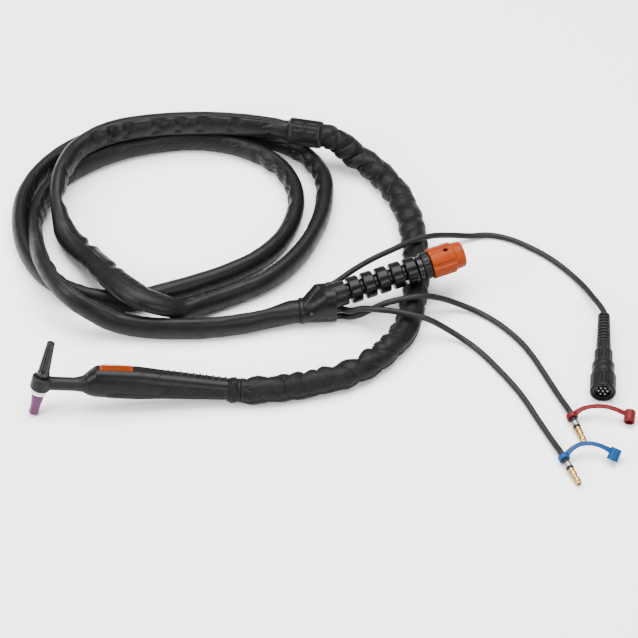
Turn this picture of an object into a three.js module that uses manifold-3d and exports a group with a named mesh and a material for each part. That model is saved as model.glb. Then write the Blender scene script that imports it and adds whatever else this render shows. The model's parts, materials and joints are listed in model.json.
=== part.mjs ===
// Water-cooled TIG welding torch with its hose package, millimetres, +Z up.
// The torch stands on its ceramic nozzle and on the sleeve collar behind the handle.
// The hose package lies on the same surface in loose loops and ends in its connectors.
import * as THREE from 'three';
import { mergeVertices } from 'three/addons/utils/BufferGeometryUtils.js';
import Module from 'manifold-3d';

const wasm = await Module();
wasm.setup();

// ---------------------------------------------------------------- driving dimensions

const GAP = 0.3;                       // clearance between pieces that touch

// Torch pose: the centre of the head, and how the handle axis is turned from world X.
const HEAD_AT = [-109.1, -4.3, 40.4];
const ROLL = -17.6;
const PITCH = 6.15;
const YAW = 2.75;
const HEAD_LEAN = 10;                  // the head's axis leans back from square to the handle

// Head, along its own axis; zero at the crossing with the handle axis
const HEAD_R = 12;
const HEAD_TOP = 8.6;
const HEAD_BOTTOM = -9;
const CORE_R = 6.7;
const CORE_BORE_R = 4.1;
const STUB_R = 4.2;                    // threaded stub of the core that the back cap screws onto
const STUB_TOP = 14.3;
const CAP_BASE = 9.9;
const CAP_TIP = 55.5;
const ELECTRODE_R = 1.2;
const RING_R = 8.9;
const RING_BOTTOM = -14.3;
const NOZZLE_TIP = -41.6;
const NOZZLE_BORE_R = 4.8;

// Handle, along the handle axis from the head
const NECK_R = 8.2;
const NECK_BORE_R = 6;
const NECK_Z = -0.2;
const HANDLE_FRONT = 49.6;
const HANDLE_REAR = 218.7;
const WALL = 2.4;
const SWITCH_SEAM_Z = 14.5;
const COLLAR_LENGTH = 15.5;
const COLLAR_R = 16;

// Trigger
const TRIGGER_FRONT = 67.3;
const TRIGGER_REAR = 106.8;
const TRIGGER_TOP = 26.2;
const TRIGGER_BOTTOM = 18.8;
const TRIGGER_HALF_WIDTH = 6;
const TEETH = 14;
const TOOTH_HEIGHT = 1.6;
const SPRING_SEAT = 22.4;              // roof of the spring's pocket in the trigger
const PIVOT = [69.7, 20.8];            // trigger pin, x and z
const SPRING_X = 86;
const PLUNGER_X = 100;
const SCREW_X = 133;
const SCREW_TOP = 21.8;

// Hose package
const LEATHER_R = 14.5;
const SHEATH_HALF_WIDTH = 10.5;        // the sheath stands on its edge
const SHEATH_HALF_HEIGHT = 15;
const CONTROL_R = 3.75;
const HOSE_R = 3.8;

// Housing that joins the leather sleeve to the sheath
const JOINT_AT = [199.9, 422.2, 49];
const JOINT_YAW = -11.6;
const JOINT_HALF_LENGTH = 22.7;
const JOINT_R = 18.2;

// Splitter, where the package divides; zero at its inlet
const SPLITTER_AT = [192.5, 135.9, 16.6];
const SPLITTER_YAW = 8;
const SPLITTER_LENGTH = 44.4;

// Power connector, along its own axis from the splitter's outlet face
const POWER_AT = [242.4, 146.7, 35.5];
const POWER_YAW = 19.2;
const POWER_RISE = 6.35;
const CUFF_R = 14.3;
const CUFF_START = -10.5;
const CUFF_END = 7.6;
const RIB_R = 16.5;
const RIB_CORE_R = 12;
const RIB_FIRST = 18.6;
const RIB_PITCH = 18.2;
const RIB_LENGTH = 14.6;
const RIB_COUNT = 5;
const CAP_START = 117;
const CAP_END = 160;
const CAP_R = 19;

// Control connector, along its own axis from the end of its boot
const CONTROL_AT = [562.9, 130, 15.9];
const CONTROL_YAW = -94.8;
const COUPLING_R = 15.6;
const BODY_LENGTHS = { boot: 49, shell: 82, body: 102, coupling: 128.4 };

// Hose ends, along each hose's own axis from the middle of its dust-cap ring
const END_DROP = 4.4;
const RED_END = { at: [514.4, -28, 7.3], yaw: -72.3 };
const BLUE_END = { at: [500.9, -92.2, 7.3], yaw: -67.6 };
const HOSE_STUB = 8.6;
const NIPPLE_END = 40.3;

// ---------------------------------------------------------------- routes of the cords

const LEATHER_ROUTE = [
  [150.9, 7.9, 15.1], [175.9, 11.7, 14.8], [201.9, 17.1, 14.8], [225.9, 23.7, 14.8],
  [250.9, 33.7, 14.8], [276.9, 50.7, 14.8], [300.9, 75.7, 14.8], [320.9, 108.7, 14.8],
  [331.2, 147.7, 14.8], [336.4, 185.7, 14.8], [338.1, 222.7, 14.8], [335.4, 264.7, 14.8],
  [329.4, 306.7, 14.8], [314.2, 350.5, 14.8], [289.7, 388.7, 15.5], [263.9, 407.7, 24],
  [244.9, 413.7, 38],
];

const SHEATH_ROUTE = [
  [153.9, 434.7, 48], [127.9, 439.7, 46.5], [95.9, 443.7, 46.4], [63.9, 444.7, 46.4],
  [12.9, 441.7, 46.4], [-38.1, 430.7, 46.4], [-69.1, 414.7, 46.4], [-92.1, 391.7, 46.4],
  [-105.1, 359.7, 46.4], [-111.1, 326.7, 42], [-108.1, 295.7, 28], [-97.1, 263.7, 18],
  [-73.4, 228.7, 20], [-49, 186.3, 36], [-24.3, 149, 46.4], [3.9, 126.2, 46.4],
  [31.9, 124.7, 36], [53.9, 133.7, 22], [83.9, 150.7, 16], [119.9, 169.7, 15.3],
  [153.9, 190.7, 15.3], [178.9, 216.7, 15.3], [200.9, 251.7, 15.3], [217.9, 296.7, 15.3],
  [223.9, 337.7, 15.3], [220.9, 377.7, 15.3], [204.9, 409.7, 15.3], [179.9, 433.7, 15.3],
  [146.9, 450.7, 15.3], [107.9, 463.7, 15.3], [61.9, 471.7, 15.3], [9.9, 470.7, 15.3],
  [-41.1, 458.7, 15.3], [-86.1, 438.7, 15.3], [-118.1, 412.7, 15.3], [-143.1, 377.7, 15.3],
  [-157.1, 335.7, 15.3], [-158.1, 293.7, 15.3], [-149.1, 249.7, 15.3], [-128.1, 206.7, 15.3],
  [-98.1, 177.7, 15.3], [-65.1, 160.7, 15.3], [-32.1, 154.7, 15.3], [-1.1, 157.7, 15.3],
  [28.9, 167.7, 15.3], [70.9, 184.7, 15.3], [106.9, 202.7, 15.3], [140.9, 225.7, 15.3],
  [165.9, 254.7, 15.3], [182.9, 293.7, 15.3], [187.9, 333.7, 15.3], [180.9, 368.7, 15.3],
  [163.9, 396.7, 15.3], [137.9, 419.7, 15.3], [107.9, 435.7, 15.3], [62.9, 445.7, 15.3],
  [10.9, 441.7, 15.3], [-40.1, 426.7, 15.3], [-77.1, 404.7, 15.3], [-110.1, 375.7, 15.3],
  [-130.1, 340.7, 15.3], [-139.1, 299.7, 16], [-134.1, 247.7, 28], [-122.1, 195.7, 44],
  [-103.1, 156.7, 47], [-81.1, 131.7, 44], [-57.1, 119.7, 34], [-30.1, 113.7, 22],
  [6.9, 109.7, 15.5], [42.9, 107.7, 15.3], [78.9, 108.7, 15.3], [109.9, 112.7, 15.3],
  [142.9, 120.7, 15.5], [166.9, 128.5, 16.2],
];

const CONTROL_ROUTE = [
  [240.9, 169.7, 36], [258.9, 186.7, 36.5], [280.9, 204.7, 36.5], [305.9, 221.7, 36],
  [330.9, 238.7, 34.6], [354.9, 252.7, 30], [379.9, 266.7, 18], [405.9, 276.7, 7],
  [431.9, 280.7, 4.2], [457.9, 272.7, 4.2], [481.9, 257.7, 4.2], [501.9, 241.7, 4.2],
  [518.9, 223.7, 4.2], [532.9, 204.7, 5], [543.9, 184.7, 8], [552.9, 162.7, 12],
  [559.9, 144.7, 15.2],
];

const RED_ROUTE = [
  [254.9, 133.7, 9], [267.9, 130.2, 17], [282.9, 131.2, 26.5], [297.9, 133.7, 33],
  [320.9, 139.7, 34.8], [342.9, 144.7, 34], [364.9, 150.7, 24], [388.9, 152.7, 11],
  [412.9, 144.7, 4.6], [436.9, 124.7, 4.2], [459.9, 96.7, 4.2], [472.9, 73.7, 4.2],
  [484.9, 46.7, 4.2], [495.9, 19.7, 4.6], [504.9, -2.3, 5.8],
];

const BLUE_ROUTE = [
  [254.9, 133.7, 20], [269.9, 129.2, 28], [287.9, 121.7, 34], [308.9, 116.7, 36],
  [329.9, 111.7, 35], [347.9, 109.7, 30], [364.9, 108.7, 19], [385.9, 100.7, 9],
  [407.9, 82.7, 4.6], [428.9, 54.7, 4.2], [449.9, 21.7, 4.2], [461.9, -1.3, 4.2],
  [471.9, -24.3, 4.2], [481.9, -47.3, 4.6], [491.9, -70.3, 5.8],
];

const RED_STRAP = [
  [517.9, -25.3, 10.5], [526.9, -21.3, 14], [538.9, -20.3, 17], [551.9, -21.3, 18],
  [563.9, -24.3, 17], [572.9, -27.3, 14.5], [577.9, -27.8, 12.5],
];

const BLUE_STRAP = [
  [503.9, -89.3, 10.5], [510.9, -83.3, 14], [520.9, -79.3, 17], [531.9, -79.3, 18],
  [541.9, -81.3, 17], [549.9, -84.3, 15], [553.9, -85.8, 13.5],
];

// ---------------------------------------------------------------- materials

function material(color, roughness, metalness = 0) {
  return new THREE.MeshStandardMaterial({ color, roughness, metalness });
}

const LOOKS = {
  blackMoulding: () => material(0x1c1c1e, 0.5),
  blackGloss: () => material(0x101012, 0.2),
  blackRubber: () => material(0x161616, 0.7),
  leather: () => material(0x1b1b1c, 0.6),
  orange: () => material(0xe0561c, 0.5),
  ceramic: () => material(0xcf9ccb, 0.35),
  white: () => material(0xf0f0ee, 0.4),
  brass: () => material(0xc9a24a, 0.3, 1),
  copper: () => material(0xb06a3c, 0.35, 1),
  steel: () => material(0xb8babd, 0.3, 1),
  red: () => material(0xc3373f, 0.55),
  blue: () => material(0x2f6fc4, 0.55),
};

// ---------------------------------------------------------------- geometry helpers

const rad = THREE.MathUtils.degToRad;

// A closed geometry as a manifold-3d solid with its faces pointing out.
function solid(geometry) {
  const bare = geometry.index ? geometry.toNonIndexed() : geometry.clone();
  bare.deleteAttribute('normal');
  bare.deleteAttribute('uv');
  const merged = mergeVertices(bare, 1e-3);
  const corners = merged.index.array;
  const triangles = [];
  for (let i = 0; i < corners.length; i += 3) {
    const [a, b, c] = corners.slice(i, i + 3);
    if (a !== b && b !== c && c !== a) triangles.push(a, b, c);
  }
  const make = (order) => new wasm.Manifold(new wasm.Mesh({
    numProp: 3,
    vertProperties: merged.attributes.position.array,
    triVerts: new Uint32Array(order),
  }));
  const made = make(triangles);
  return made.volume() < 0 ? make(triangles.reverse()) : made;
}

function geometryOf(body) {
  const mesh = body.getMesh();
  const geometry = new THREE.BufferGeometry();
  geometry.setAttribute('position', new THREE.BufferAttribute(mesh.vertProperties, 3));
  geometry.setIndex(new THREE.BufferAttribute(mesh.triVerts, 1));
  geometry.computeVertexNormals();
  return geometry;
}

function moved(body, group) {
  group.updateMatrixWorld(true);
  return body.transform(group.matrixWorld.elements);
}

// A group at a place, turned by roll, then pitch, then yaw, in degrees.
function frame(at, yaw = 0, pitch = 0, roll = 0, parent = null) {
  const group = new THREE.Group();
  group.position.set(...at);
  group.rotation.set(rad(roll), rad(pitch), rad(yaw), 'ZYX');
  if (parent) parent.add(group);
  return group;
}

function add(parent, name, body, look) {
  const mesh = new THREE.Mesh(geometryOf(body), LOOKS[look]());
  mesh.name = name;
  parent.add(mesh);
}

// Profiles are lists of [along, radius]. A profile off the axis closes on itself.
function turned(profile, axis, segments = 20) {
  const onAxis = profile[0][1] === 0 && profile[profile.length - 1][1] === 0;
  const outline = onAxis ? profile : [...profile, profile[0]];
  const points = outline.map(([along, radius]) => new THREE.Vector2(radius, along));
  const geometry = new THREE.LatheGeometry(points, segments);
  if (axis === 'x') geometry.rotateZ(-Math.PI / 2);
  if (axis === 'z') geometry.rotateX(Math.PI / 2);
  return solid(geometry);
}

function rod(radius, from, to, axis, segments = 16) {
  return turned([[from, 0], [from, radius], [to, radius], [to, 0]], axis, segments);
}

function pipe(outer, inner, from, to, axis, segments = 16) {
  return turned([[from, inner], [from, outer], [to, outer], [to, inner]], axis, segments);
}

function box(low, high) {
  const size = high.map((value, i) => value - low[i]);
  const geometry = new THREE.BoxGeometry(...size);
  geometry.translate(...low.map((value, i) => value + size[i] / 2));
  return solid(geometry);
}

// A flat outline in x and z, extruded across y.
function slab(outline, halfWidth) {
  const shape = new THREE.Shape(outline.map(([x, z]) => new THREE.Vector2(x, z)));
  const geometry = new THREE.ExtrudeGeometry(shape, { depth: 2 * halfWidth, bevelEnabled: false });
  geometry.rotateX(Math.PI / 2);
  geometry.translate(0, halfWidth, 0);
  return solid(geometry);
}

// A curve whose cross-sections stay upright along its whole length.
class UprightCurve extends THREE.CatmullRomCurve3 {
  computeFrenetFrames(segments) {
    const up = new THREE.Vector3(0, 0, 1);
    const tangents = [];
    const normals = [];
    const binormals = [];
    for (let i = 0; i <= segments; i += 1) {
      const tangent = this.getTangentAt(i / segments);
      const side = new THREE.Vector3().crossVectors(tangent, up).normalize();
      tangents.push(tangent);
      normals.push(side);
      binormals.push(new THREE.Vector3().crossVectors(side, tangent));
    }
    return { tangents, normals, binormals };
  }
}

function ellipse(halfWidth, halfHeight, sides) {
  const corners = [];
  for (let i = 0; i < sides; i += 1) {
    const angle = (2 * Math.PI * i) / sides;
    corners.push(new THREE.Vector2(halfWidth * Math.cos(angle), halfHeight * Math.sin(angle)));
  }
  return corners;
}

function rectangle(width, height) {
  const x = width / 2;
  const y = height / 2;
  return [[-x, -y], [x, -y], [x, y], [-x, y]].map(([a, b]) => new THREE.Vector2(a, b));
}

function swept(points, corners, steps) {
  const curve = new UprightCurve(points.map((point) => new THREE.Vector3(...point)), false, 'centripetal');
  const shape = new THREE.Shape(corners);
  return solid(new THREE.ExtrudeGeometry(shape, { steps, extrudePath: curve, bevelEnabled: false }));
}

// Rounded cross-sections joined along x. Each is { x, top, bottom, half, square }.
function lofted(sections, around = 20) {
  const rings = sections.map(({ x, top, bottom, half, square = 2.4 }) => {
    const ring = [];
    for (let i = 0; i < around; i += 1) {
      const angle = (2 * Math.PI * i) / around;
      const c = Math.cos(angle);
      const s = Math.sin(angle);
      const y = half * Math.sign(c) * Math.abs(c) ** (2 / square);
      const z = ((top - bottom) / 2) * Math.sign(s) * Math.abs(s) ** (2 / square);
      ring.push([x, y, z + (top + bottom) / 2]);
    }
    return ring;
  });
  const faces = [];
  rings.slice(1).forEach((ring, r) => {
    ring.forEach((point, i) => {
      const next = (i + 1) % around;
      faces.push(rings[r][i], rings[r][next], ring[next], rings[r][i], ring[next], point);
    });
  });
  for (const [ring, flip] of [[rings[0], true], [rings[rings.length - 1], false]]) {
    const middle = [ring[0][0], 0, (ring[around / 4][2] + ring[(3 * around) / 4][2]) / 2];
    ring.forEach((point, i) => {
      const next = ring[(i + 1) % around];
      faces.push(middle, ...(flip ? [next, point] : [point, next]));
    });
  }
  const geometry = new THREE.BufferGeometry();
  geometry.setAttribute('position', new THREE.Float32BufferAttribute(faces.flat(), 3));
  return solid(geometry);
}

function inset(sections, wall, front, rear) {
  const thinner = sections.map((s) => ({
    ...s, top: s.top - wall, bottom: s.bottom + wall, half: s.half - wall,
  }));
  thinner[0].x -= front;
  thinner[thinner.length - 1].x += rear;
  return thinner;
}

// The two halves of a body, cut at y = 0 or at z = 0, a gap apart.
function halves(body, axis) {
  const normal = axis === 'y' ? [0, 1, 0] : [0, 0, 1];
  const opposite = normal.map((value) => -value);
  return [body.trimByPlane(normal, GAP / 2), body.trimByPlane(opposite, GAP / 2)];
}

const root = new THREE.Group();
const torch = frame(HEAD_AT, YAW, PITCH, ROLL, root);

// ---------------------------------------------------------------- torch head

const headTurn = frame([0, 0, 0], 0, HEAD_LEAN, 0);
const head = frame([0, 0, 0], 0, HEAD_LEAN, 0, torch);

function headCover() {
  const rounding = 2.2;
  const pot = turned([
    [HEAD_BOTTOM, 0], [HEAD_BOTTOM, HEAD_R - rounding], [HEAD_BOTTOM + rounding, HEAD_R],
    [HEAD_TOP - 1, HEAD_R], [HEAD_TOP, HEAD_R - 1.2], [HEAD_TOP, 0],
  ], 'z', 24);
  const neck = lofted([
    { x: 5, top: NECK_Z + NECK_R, bottom: NECK_Z - NECK_R, half: NECK_R, square: 2 },
    { x: 38, top: NECK_Z + NECK_R, bottom: NECK_Z - NECK_R, half: NECK_R, square: 2 },
    { x: 44, top: NECK_Z + 9.3, bottom: NECK_Z - 8.6, half: 9, square: 2 },
    { x: HANDLE_FRONT - GAP, top: 11.4, bottom: -9.4, half: 9.6, square: 2 },
  ]);
  const bore = moved(rod(CORE_R + GAP, HEAD_BOTTOM - 1, HEAD_TOP + 1, 'z'), headTurn);
  const duct = rod(NECK_BORE_R, 1, HANDLE_FRONT + 1, 'x').translate([0, 0, NECK_Z]);
  return moved(pot, headTurn).add(neck).subtract(bore).subtract(duct);
}

function backCap() {
  const flutes = 8;
  const base = CAP_BASE;
  const outer = turned([
    [base, 0], [base, 6.6], [base + 1.2, 7.5], [base + 5.5, 7.6], [base + 6.8, 7],
    [CAP_TIP - 1, 4.8], [CAP_TIP, 4.1], [CAP_TIP, 0],
  ], 'z', 24);
  const thread = rod(STUB_R + GAP, base - 1, STUB_TOP + 1.2, 'z', 16);
  let cap = outer.subtract(rod(1.7, base - 1, CAP_TIP - 4, 'z', 16)).subtract(thread);
  const groove = new THREE.CylinderGeometry(0.5, 1.1, CAP_TIP - base - 10, 8);
  groove.rotateX(Math.PI / 2);
  groove.rotateY(rad(-3.2));
  groove.translate(6.6, 0, (CAP_TIP + base + 7) / 2);
  const cutter = solid(groove);
  for (let i = 0; i < flutes; i += 1) cap = cap.subtract(cutter.rotate([0, 0, (360 * i) / flutes]));
  return cap;
}

function buildHead() {
  add(torch, 'head_cover', headCover(), 'blackRubber');
  const coreTop = HEAD_TOP - 2;
  const stub = pipe(STUB_R, 2.9, coreTop - 2.3, STUB_TOP, 'z');
  add(head, 'torch_core', pipe(CORE_R, CORE_BORE_R, HEAD_BOTTOM + GAP, coreTop, 'z').add(stub), 'brass');
  add(head, 'collet_body', turned([
    [-33, 1.6], [-33, 3], [-31, 3.8], [4, 3.8], [4, 2.8], [-30, 2.8], [-31, 1.6],
  ], 'z'), 'copper');
  add(head, 'collet', pipe(2.5, ELECTRODE_R + 0.2, -29.6, coreTop, 'z', 24), 'copper');
  add(head, 'electrode', turned([
    [NOZZLE_TIP + 2.5, 0], [NOZZLE_TIP + 6.5, ELECTRODE_R], [CAP_TIP - 6, ELECTRODE_R], [CAP_TIP - 6, 0],
  ], 'z', 16), 'steel');
  add(head, 'back_cap', backCap(), 'blackGloss');
  add(head, 'cap_seal', pipe(6.3, STUB_R + GAP, HEAD_TOP - 1.6, CAP_BASE - 0.2, 'z', 24), 'blackRubber');
  add(head, 'insulator_ring', turned([
    [HEAD_BOTTOM - GAP, 4.3], [HEAD_BOTTOM - GAP, RING_R - 0.5], [HEAD_BOTTOM - GAP - 0.5, RING_R],
    [RING_BOTTOM + 0.5, RING_R], [RING_BOTTOM, RING_R - 0.5], [RING_BOTTOM, 4.3],
  ].reverse(), 'z', 24), 'white');
  const top = RING_BOTTOM - GAP;
  add(head, 'gas_nozzle', turned([
    [top, 4.2], [top, 7.2], [top - 6, 7.1], [top - 13, 6.1], [NOZZLE_TIP + 8, 5.7], [NOZZLE_TIP + 1, 6],
    [NOZZLE_TIP, 5.6], [NOZZLE_TIP, NOZZLE_BORE_R], [top - 9, NOZZLE_BORE_R], [top - 9, 4.2],
  ], 'z', 24), 'ceramic');
}

// ---------------------------------------------------------------- handle

const HANDLE_SECTIONS = [
  { x: HANDLE_FRONT, top: 11.8, bottom: -9.6, half: 9.8, square: 2.2 },
  { x: 55, top: 17, bottom: -12, half: 12.4 },
  { x: 63.5, top: 23.6, bottom: -13.4, half: 14.6, square: 2.6 },
  { x: 90, top: 24.3, bottom: -14, half: 15.6, square: 2.6 },
  { x: 114, top: 24, bottom: -14, half: 15.6, square: 2.6 },
  { x: 142, top: 21.2, bottom: -12.6, half: 14.8 },
  { x: 182, top: 17.5, bottom: -11.8, half: 13.4 },
  { x: HANDLE_REAR, top: 14.2, bottom: -11.3, half: 12.3, square: 2.2 },
];

const SWITCH_OUTLINE = [
  [53, 30], [53, 16.5], [64, SWITCH_SEAM_Z], [128, SWITCH_SEAM_Z], [143, 22], [143, 30],
];

function switchOutline(clearance) {
  return SWITCH_OUTLINE.map(([x, z], i) => {
    const inward = i < 3 ? clearance : -clearance;
    return [x + inward, z < 25 ? z + clearance : z];
  });
}

function switchModule(outer, screw) {
  const body = outer.intersect(slab(switchOutline(GAP), 20));
  const slot = box(
    [TRIGGER_FRONT - 0.5, -TRIGGER_HALF_WIDTH - 0.4, SWITCH_SEAM_Z + 1.9],
    [TRIGGER_REAR + 0.5, TRIGGER_HALF_WIDTH + 0.4, 30],
  );
  const pinHole = rod(1.35, -9, 9, 'y', 12).translate([PIVOT[0], 0, PIVOT[1]]);
  const plungerHole = rod(1.7, 10, 20, 'z', 16).translate([PLUNGER_X, 0, 0]);
  return body.subtract(slot).subtract(pinHole).subtract(plungerHole).subtract(screw);
}

function triggerBody() {
  const root = TRIGGER_TOP - TOOTH_HEIGHT;
  const step = (TRIGGER_REAR - TRIGGER_FRONT - 4) / TEETH;
  const outline = [
    [TRIGGER_FRONT, TRIGGER_BOTTOM + 1.5], [TRIGGER_FRONT + 0.6, root - 0.6], [TRIGGER_FRONT + 2, root],
  ];
  for (let i = 0; i < TEETH; i += 1) {
    const x = TRIGGER_FRONT + 2 + i * step;
    outline.push([x + 0.35 * step, TRIGGER_TOP], [x + 0.65 * step, TRIGGER_TOP], [x + step, root]);
  }
  outline.push(
    [TRIGGER_REAR - 0.6, root - 1.4], [TRIGGER_REAR, TRIGGER_BOTTOM], [TRIGGER_FRONT + 2, TRIGGER_BOTTOM],
  );
  const key = slab(outline, TRIGGER_HALF_WIDTH);
  const hole = rod(1.4, -9, 9, 'y', 12).translate([PIVOT[0], 0, PIVOT[1]]);
  const pocket = rod(3, TRIGGER_BOTTOM - 1, SPRING_SEAT, 'z', 12).translate([SPRING_X, 0, 0]);
  return key.subtract(hole).subtract(pocket);
}

function springCoil() {
  const turns = 4;
  const low = SWITCH_SEAM_Z + 1.9 + GAP + 0.3;
  const high = SPRING_SEAT - GAP - 0.3;
  const points = [];
  for (let i = 0; i <= turns * 8; i += 1) {
    const angle = (Math.PI * i) / 4;
    const z = low + ((high - low) * i) / (turns * 8);
    points.push([SPRING_X + 2.2 * Math.cos(angle), 2.2 * Math.sin(angle), z]);
  }
  return swept(points, ellipse(0.35, 0.35, 6), turns * 8);
}

function collar() {
  const front = HANDLE_REAR + GAP;
  const rear = front + COLLAR_LENGTH;
  return turned([
    [front, 9.5], [front, 13.6], [front + 2.4, 14.2], [front + 3.2, COLLAR_R - 0.6],
    [front + 4.2, COLLAR_R], [front + 9.6, COLLAR_R], [front + 10.6, COLLAR_R - 0.8],
    [front + 11.4, COLLAR_R - 1.9], [rear - 1, COLLAR_R - 1.7], [rear, COLLAR_R - 2.4], [rear, 9.5],
  ], 'x', 24);
}

function buildHandle() {
  const outer = lofted(HANDLE_SECTIONS);
  const inner = lofted(inset(HANDLE_SECTIONS, WALL, 2, 2));
  const screwHead = rod(2.6, SCREW_TOP - 2, 30, 'z', 12).translate([SCREW_X, 0, 0]);
  const screwShank = rod(1.5, 5, 30, 'z', 16).translate([SCREW_X, 0, 0]);
  const screwRoom = screwHead.add(screwShank);
  const shell = outer.subtract(inner).subtract(slab(switchOutline(0), 20)).subtract(screwRoom);
  const [left, right] = halves(shell, 'y');
  add(torch, 'handle_shell_left', left, 'blackMoulding');
  add(torch, 'handle_shell_right', right, 'blackMoulding');
  add(torch, 'switch_module', switchModule(outer, screwRoom), 'blackMoulding');
  const socket = rod(1, SCREW_TOP - 1, SCREW_TOP + 1, 'z', 6);
  const screw = rod(2.3, SCREW_TOP - 1.7, SCREW_TOP, 'z', 24).add(rod(1.2, 8, SCREW_TOP - 1.4, 'z', 16));
  add(torch, 'module_screw', screw.subtract(socket).translate([SCREW_X, 0, 0]), 'steel');
  add(torch, 'trigger', triggerBody(), 'orange');
  add(torch, 'trigger_pin', rod(1.1, -8.5, 8.5, 'y', 12).translate([PIVOT[0], 0, PIVOT[1]]), 'steel');
  add(torch, 'trigger_spring', springCoil(), 'steel');
  const plungerRoom = rod(1.6, 9.6, 13, 'z', 16).translate([PLUNGER_X, 0, 0]);
  const switchCase = box([PLUNGER_X - 6, -3, 5.8], [PLUNGER_X + 8, 3, 11.7]).subtract(plungerRoom);
  add(torch, 'microswitch', switchCase, 'blackMoulding');
  const plunger = rod(1.2, 11.6, TRIGGER_BOTTOM - GAP, 'z', 16).translate([PLUNGER_X, 0, 0]);
  add(torch, 'switch_plunger', plunger, 'white');
  const tubeFront = CORE_R + 1.4;
  const tubeRear = HANDLE_REAR - 2;
  const powerTube = pipe(2.7, 1.7, tubeFront, tubeRear, 'x', 12).translate([0, 0, -1.9]);
  const gasTube = pipe(2, 1.3, tubeFront, tubeRear, 'x', 12).translate([0, 0, 3.3]);
  add(torch, 'power_tube', powerTube, 'copper');
  add(torch, 'gas_tube', gasTube, 'copper');
  add(torch, 'sleeve_collar', collar(), 'leather');
}

// ---------------------------------------------------------------- housing between the sleeves

const joint = frame(JOINT_AT, JOINT_YAW, 0, 0, root);

function buildJoint() {
  const end = JOINT_HALF_LENGTH;
  const shape = turned([
    [-end, 10], [-end, 15.2], [-end + 3.4, JOINT_R], [end - 3.4, JOINT_R], [end, 15.2], [end, 10],
    [end - 3, 10], [end - 3, 14.8], [-end + 3, 14.8], [-end + 3, 10],
  ], 'x', 16);
  const screwXs = [-11, 11];
  const room = screwXs.map((x) => rod(2.6, -30, 30, 'z', 12).translate([x, 13.2, 0]));
  const bosses = screwXs.map((x) => rod(4, -7, 7, 'z', 12).translate([x, 13.2, 0]));
  const inside = turned([[-end + 1, 0], [-end + 1, 17], [end - 1, 17], [end - 1, 0]], 'x', 16);
  let hull = shape;
  bosses.forEach((boss) => { hull = hull.add(boss.intersect(inside)); });
  const clip = box([-4.5, -3, JOINT_R - 1.4], [4.5, 3, JOINT_R + 0.9]);
  hull = hull.add(clip);
  room.forEach((hole) => { hull = hull.subtract(hole); });
  const [top, bottom] = halves(hull, 'z');
  add(joint, 'joint_shell_top', top, 'blackMoulding');
  add(joint, 'joint_shell_bottom', bottom, 'blackMoulding');
  screwXs.forEach((x, i) => {
    const screw = rod(2.3, 6, 9, 'z', 12).add(rod(1.3, -9, 6.2, 'z', 16)).translate([x, 13.2, 0]);
    add(joint, 'joint_screw_' + (i + 1), screw, 'steel');
  });
}

// ---------------------------------------------------------------- splitter

const splitter = frame(SPLITTER_AT, SPLITTER_YAW, 0, 0, root);
const power = frame(POWER_AT, POWER_YAW, -POWER_RISE, 0, root);
const red = frame(RED_END.at, RED_END.yaw, END_DROP, 0, root);
const blue = frame(BLUE_END.at, BLUE_END.yaw, END_DROP, 0, root);
const control = frame(CONTROL_AT, CONTROL_YAW, 0, 0, root);

const SPLITTER_SECTIONS = [
  { x: 0, top: 16.2, bottom: -16.2, half: 16.2, square: 2 },
  { x: 6, top: 16.2, bottom: -16.2, half: 16.2, square: 2 },
  { x: 7, top: 15.2, bottom: -15.2, half: 15.2, square: 2 },
  { x: 32, top: 32.6, bottom: -16.3, half: 17.4, square: 2.6 },
  { x: SPLITTER_LENGTH, top: 33.4, bottom: -16.3, half: 17.4, square: 2.6 },
];

function inSplitter(body, group) {
  root.updateMatrixWorld(true);
  const matrix = splitter.matrixWorld.clone().invert().multiply(group.matrixWorld);
  return body.transform(matrix.elements);
}

const controlExit = frame([35, 17, 19], 24, -4, 0, splitter);
const CONTROL_BOSS = 7;
const RED_EXIT_Z = -10.3;
const BLUE_EXIT_Z = 1.2;
const HOSE_EXIT_Y = -5;

function buildSplitter() {
  const outer = lofted(SPLITTER_SECTIONS);
  const wall = 3;
  const cavity = lofted(inset(SPLITTER_SECTIONS.slice(2), wall, wall, -wall), 12);
  const inlet = rod(10, -2, 8, 'x');
  const cuff = inSplitter(rod(CUFF_R, CUFF_START, CUFF_END, 'x', 24), power);
  const cuffBore = inSplitter(rod(CUFF_R - 3, CUFF_START - 6, CUFF_END + 2, 'x', 24), power);
  const boss = inSplitter(rod(5, -9, CONTROL_BOSS, 'x', 24), controlExit);
  const bossBore = inSplitter(rod(2.5, -16, 10, 'x', 16), controlExit);
  const hoseBore = (z) => rod(2.5, 30, 60, 'x', 16).translate([0, HOSE_EXIT_Y, z]);
  const screwXs = [14, 36];
  const screwZs = [8, -4];
  const posts = screwXs.map((x, i) => rod(4, -15, 15, 'y', 10).translate([x, 0, screwZs[i]]));
  const hump = wasm.Manifold.hull([
    rod(14.8, 5, 6, 'x', 24),
    inSplitter(rod(9.5, -11, -10, 'x'), controlExit),
    inSplitter(rod(6, -1, 0, 'x'), controlExit),
  ]);
  let hull = outer.add(cuff).add(boss).add(hump).subtract(cavity);
  posts.forEach((post) => { hull = hull.add(post.intersect(outer)); });
  [inlet, cuffBore, bossBore, hoseBore(RED_EXIT_Z), hoseBore(BLUE_EXIT_Z)].forEach((hole) => {
    hull = hull.subtract(hole);
  });
  screwXs.forEach((x, i) => {
    hull = hull.subtract(rod(2.7, -30, 30, 'y', 12).translate([x, 0, screwZs[i]]));
  });
  const [left, right] = halves(hull, 'y');
  add(splitter, 'splitter_left', left, 'blackMoulding');
  add(splitter, 'splitter_right', right, 'blackMoulding');
  screwXs.forEach((x, i) => {
    const screw = rod(2.4, -15, -12, 'y', 12).add(rod(1.4, -12.2, 12, 'y', 16));
    add(splitter, 'splitter_screw_' + (i + 1), screw.translate([x, 0, screwZs[i]]), 'steel');
  });
}

// ---------------------------------------------------------------- power connector

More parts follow.
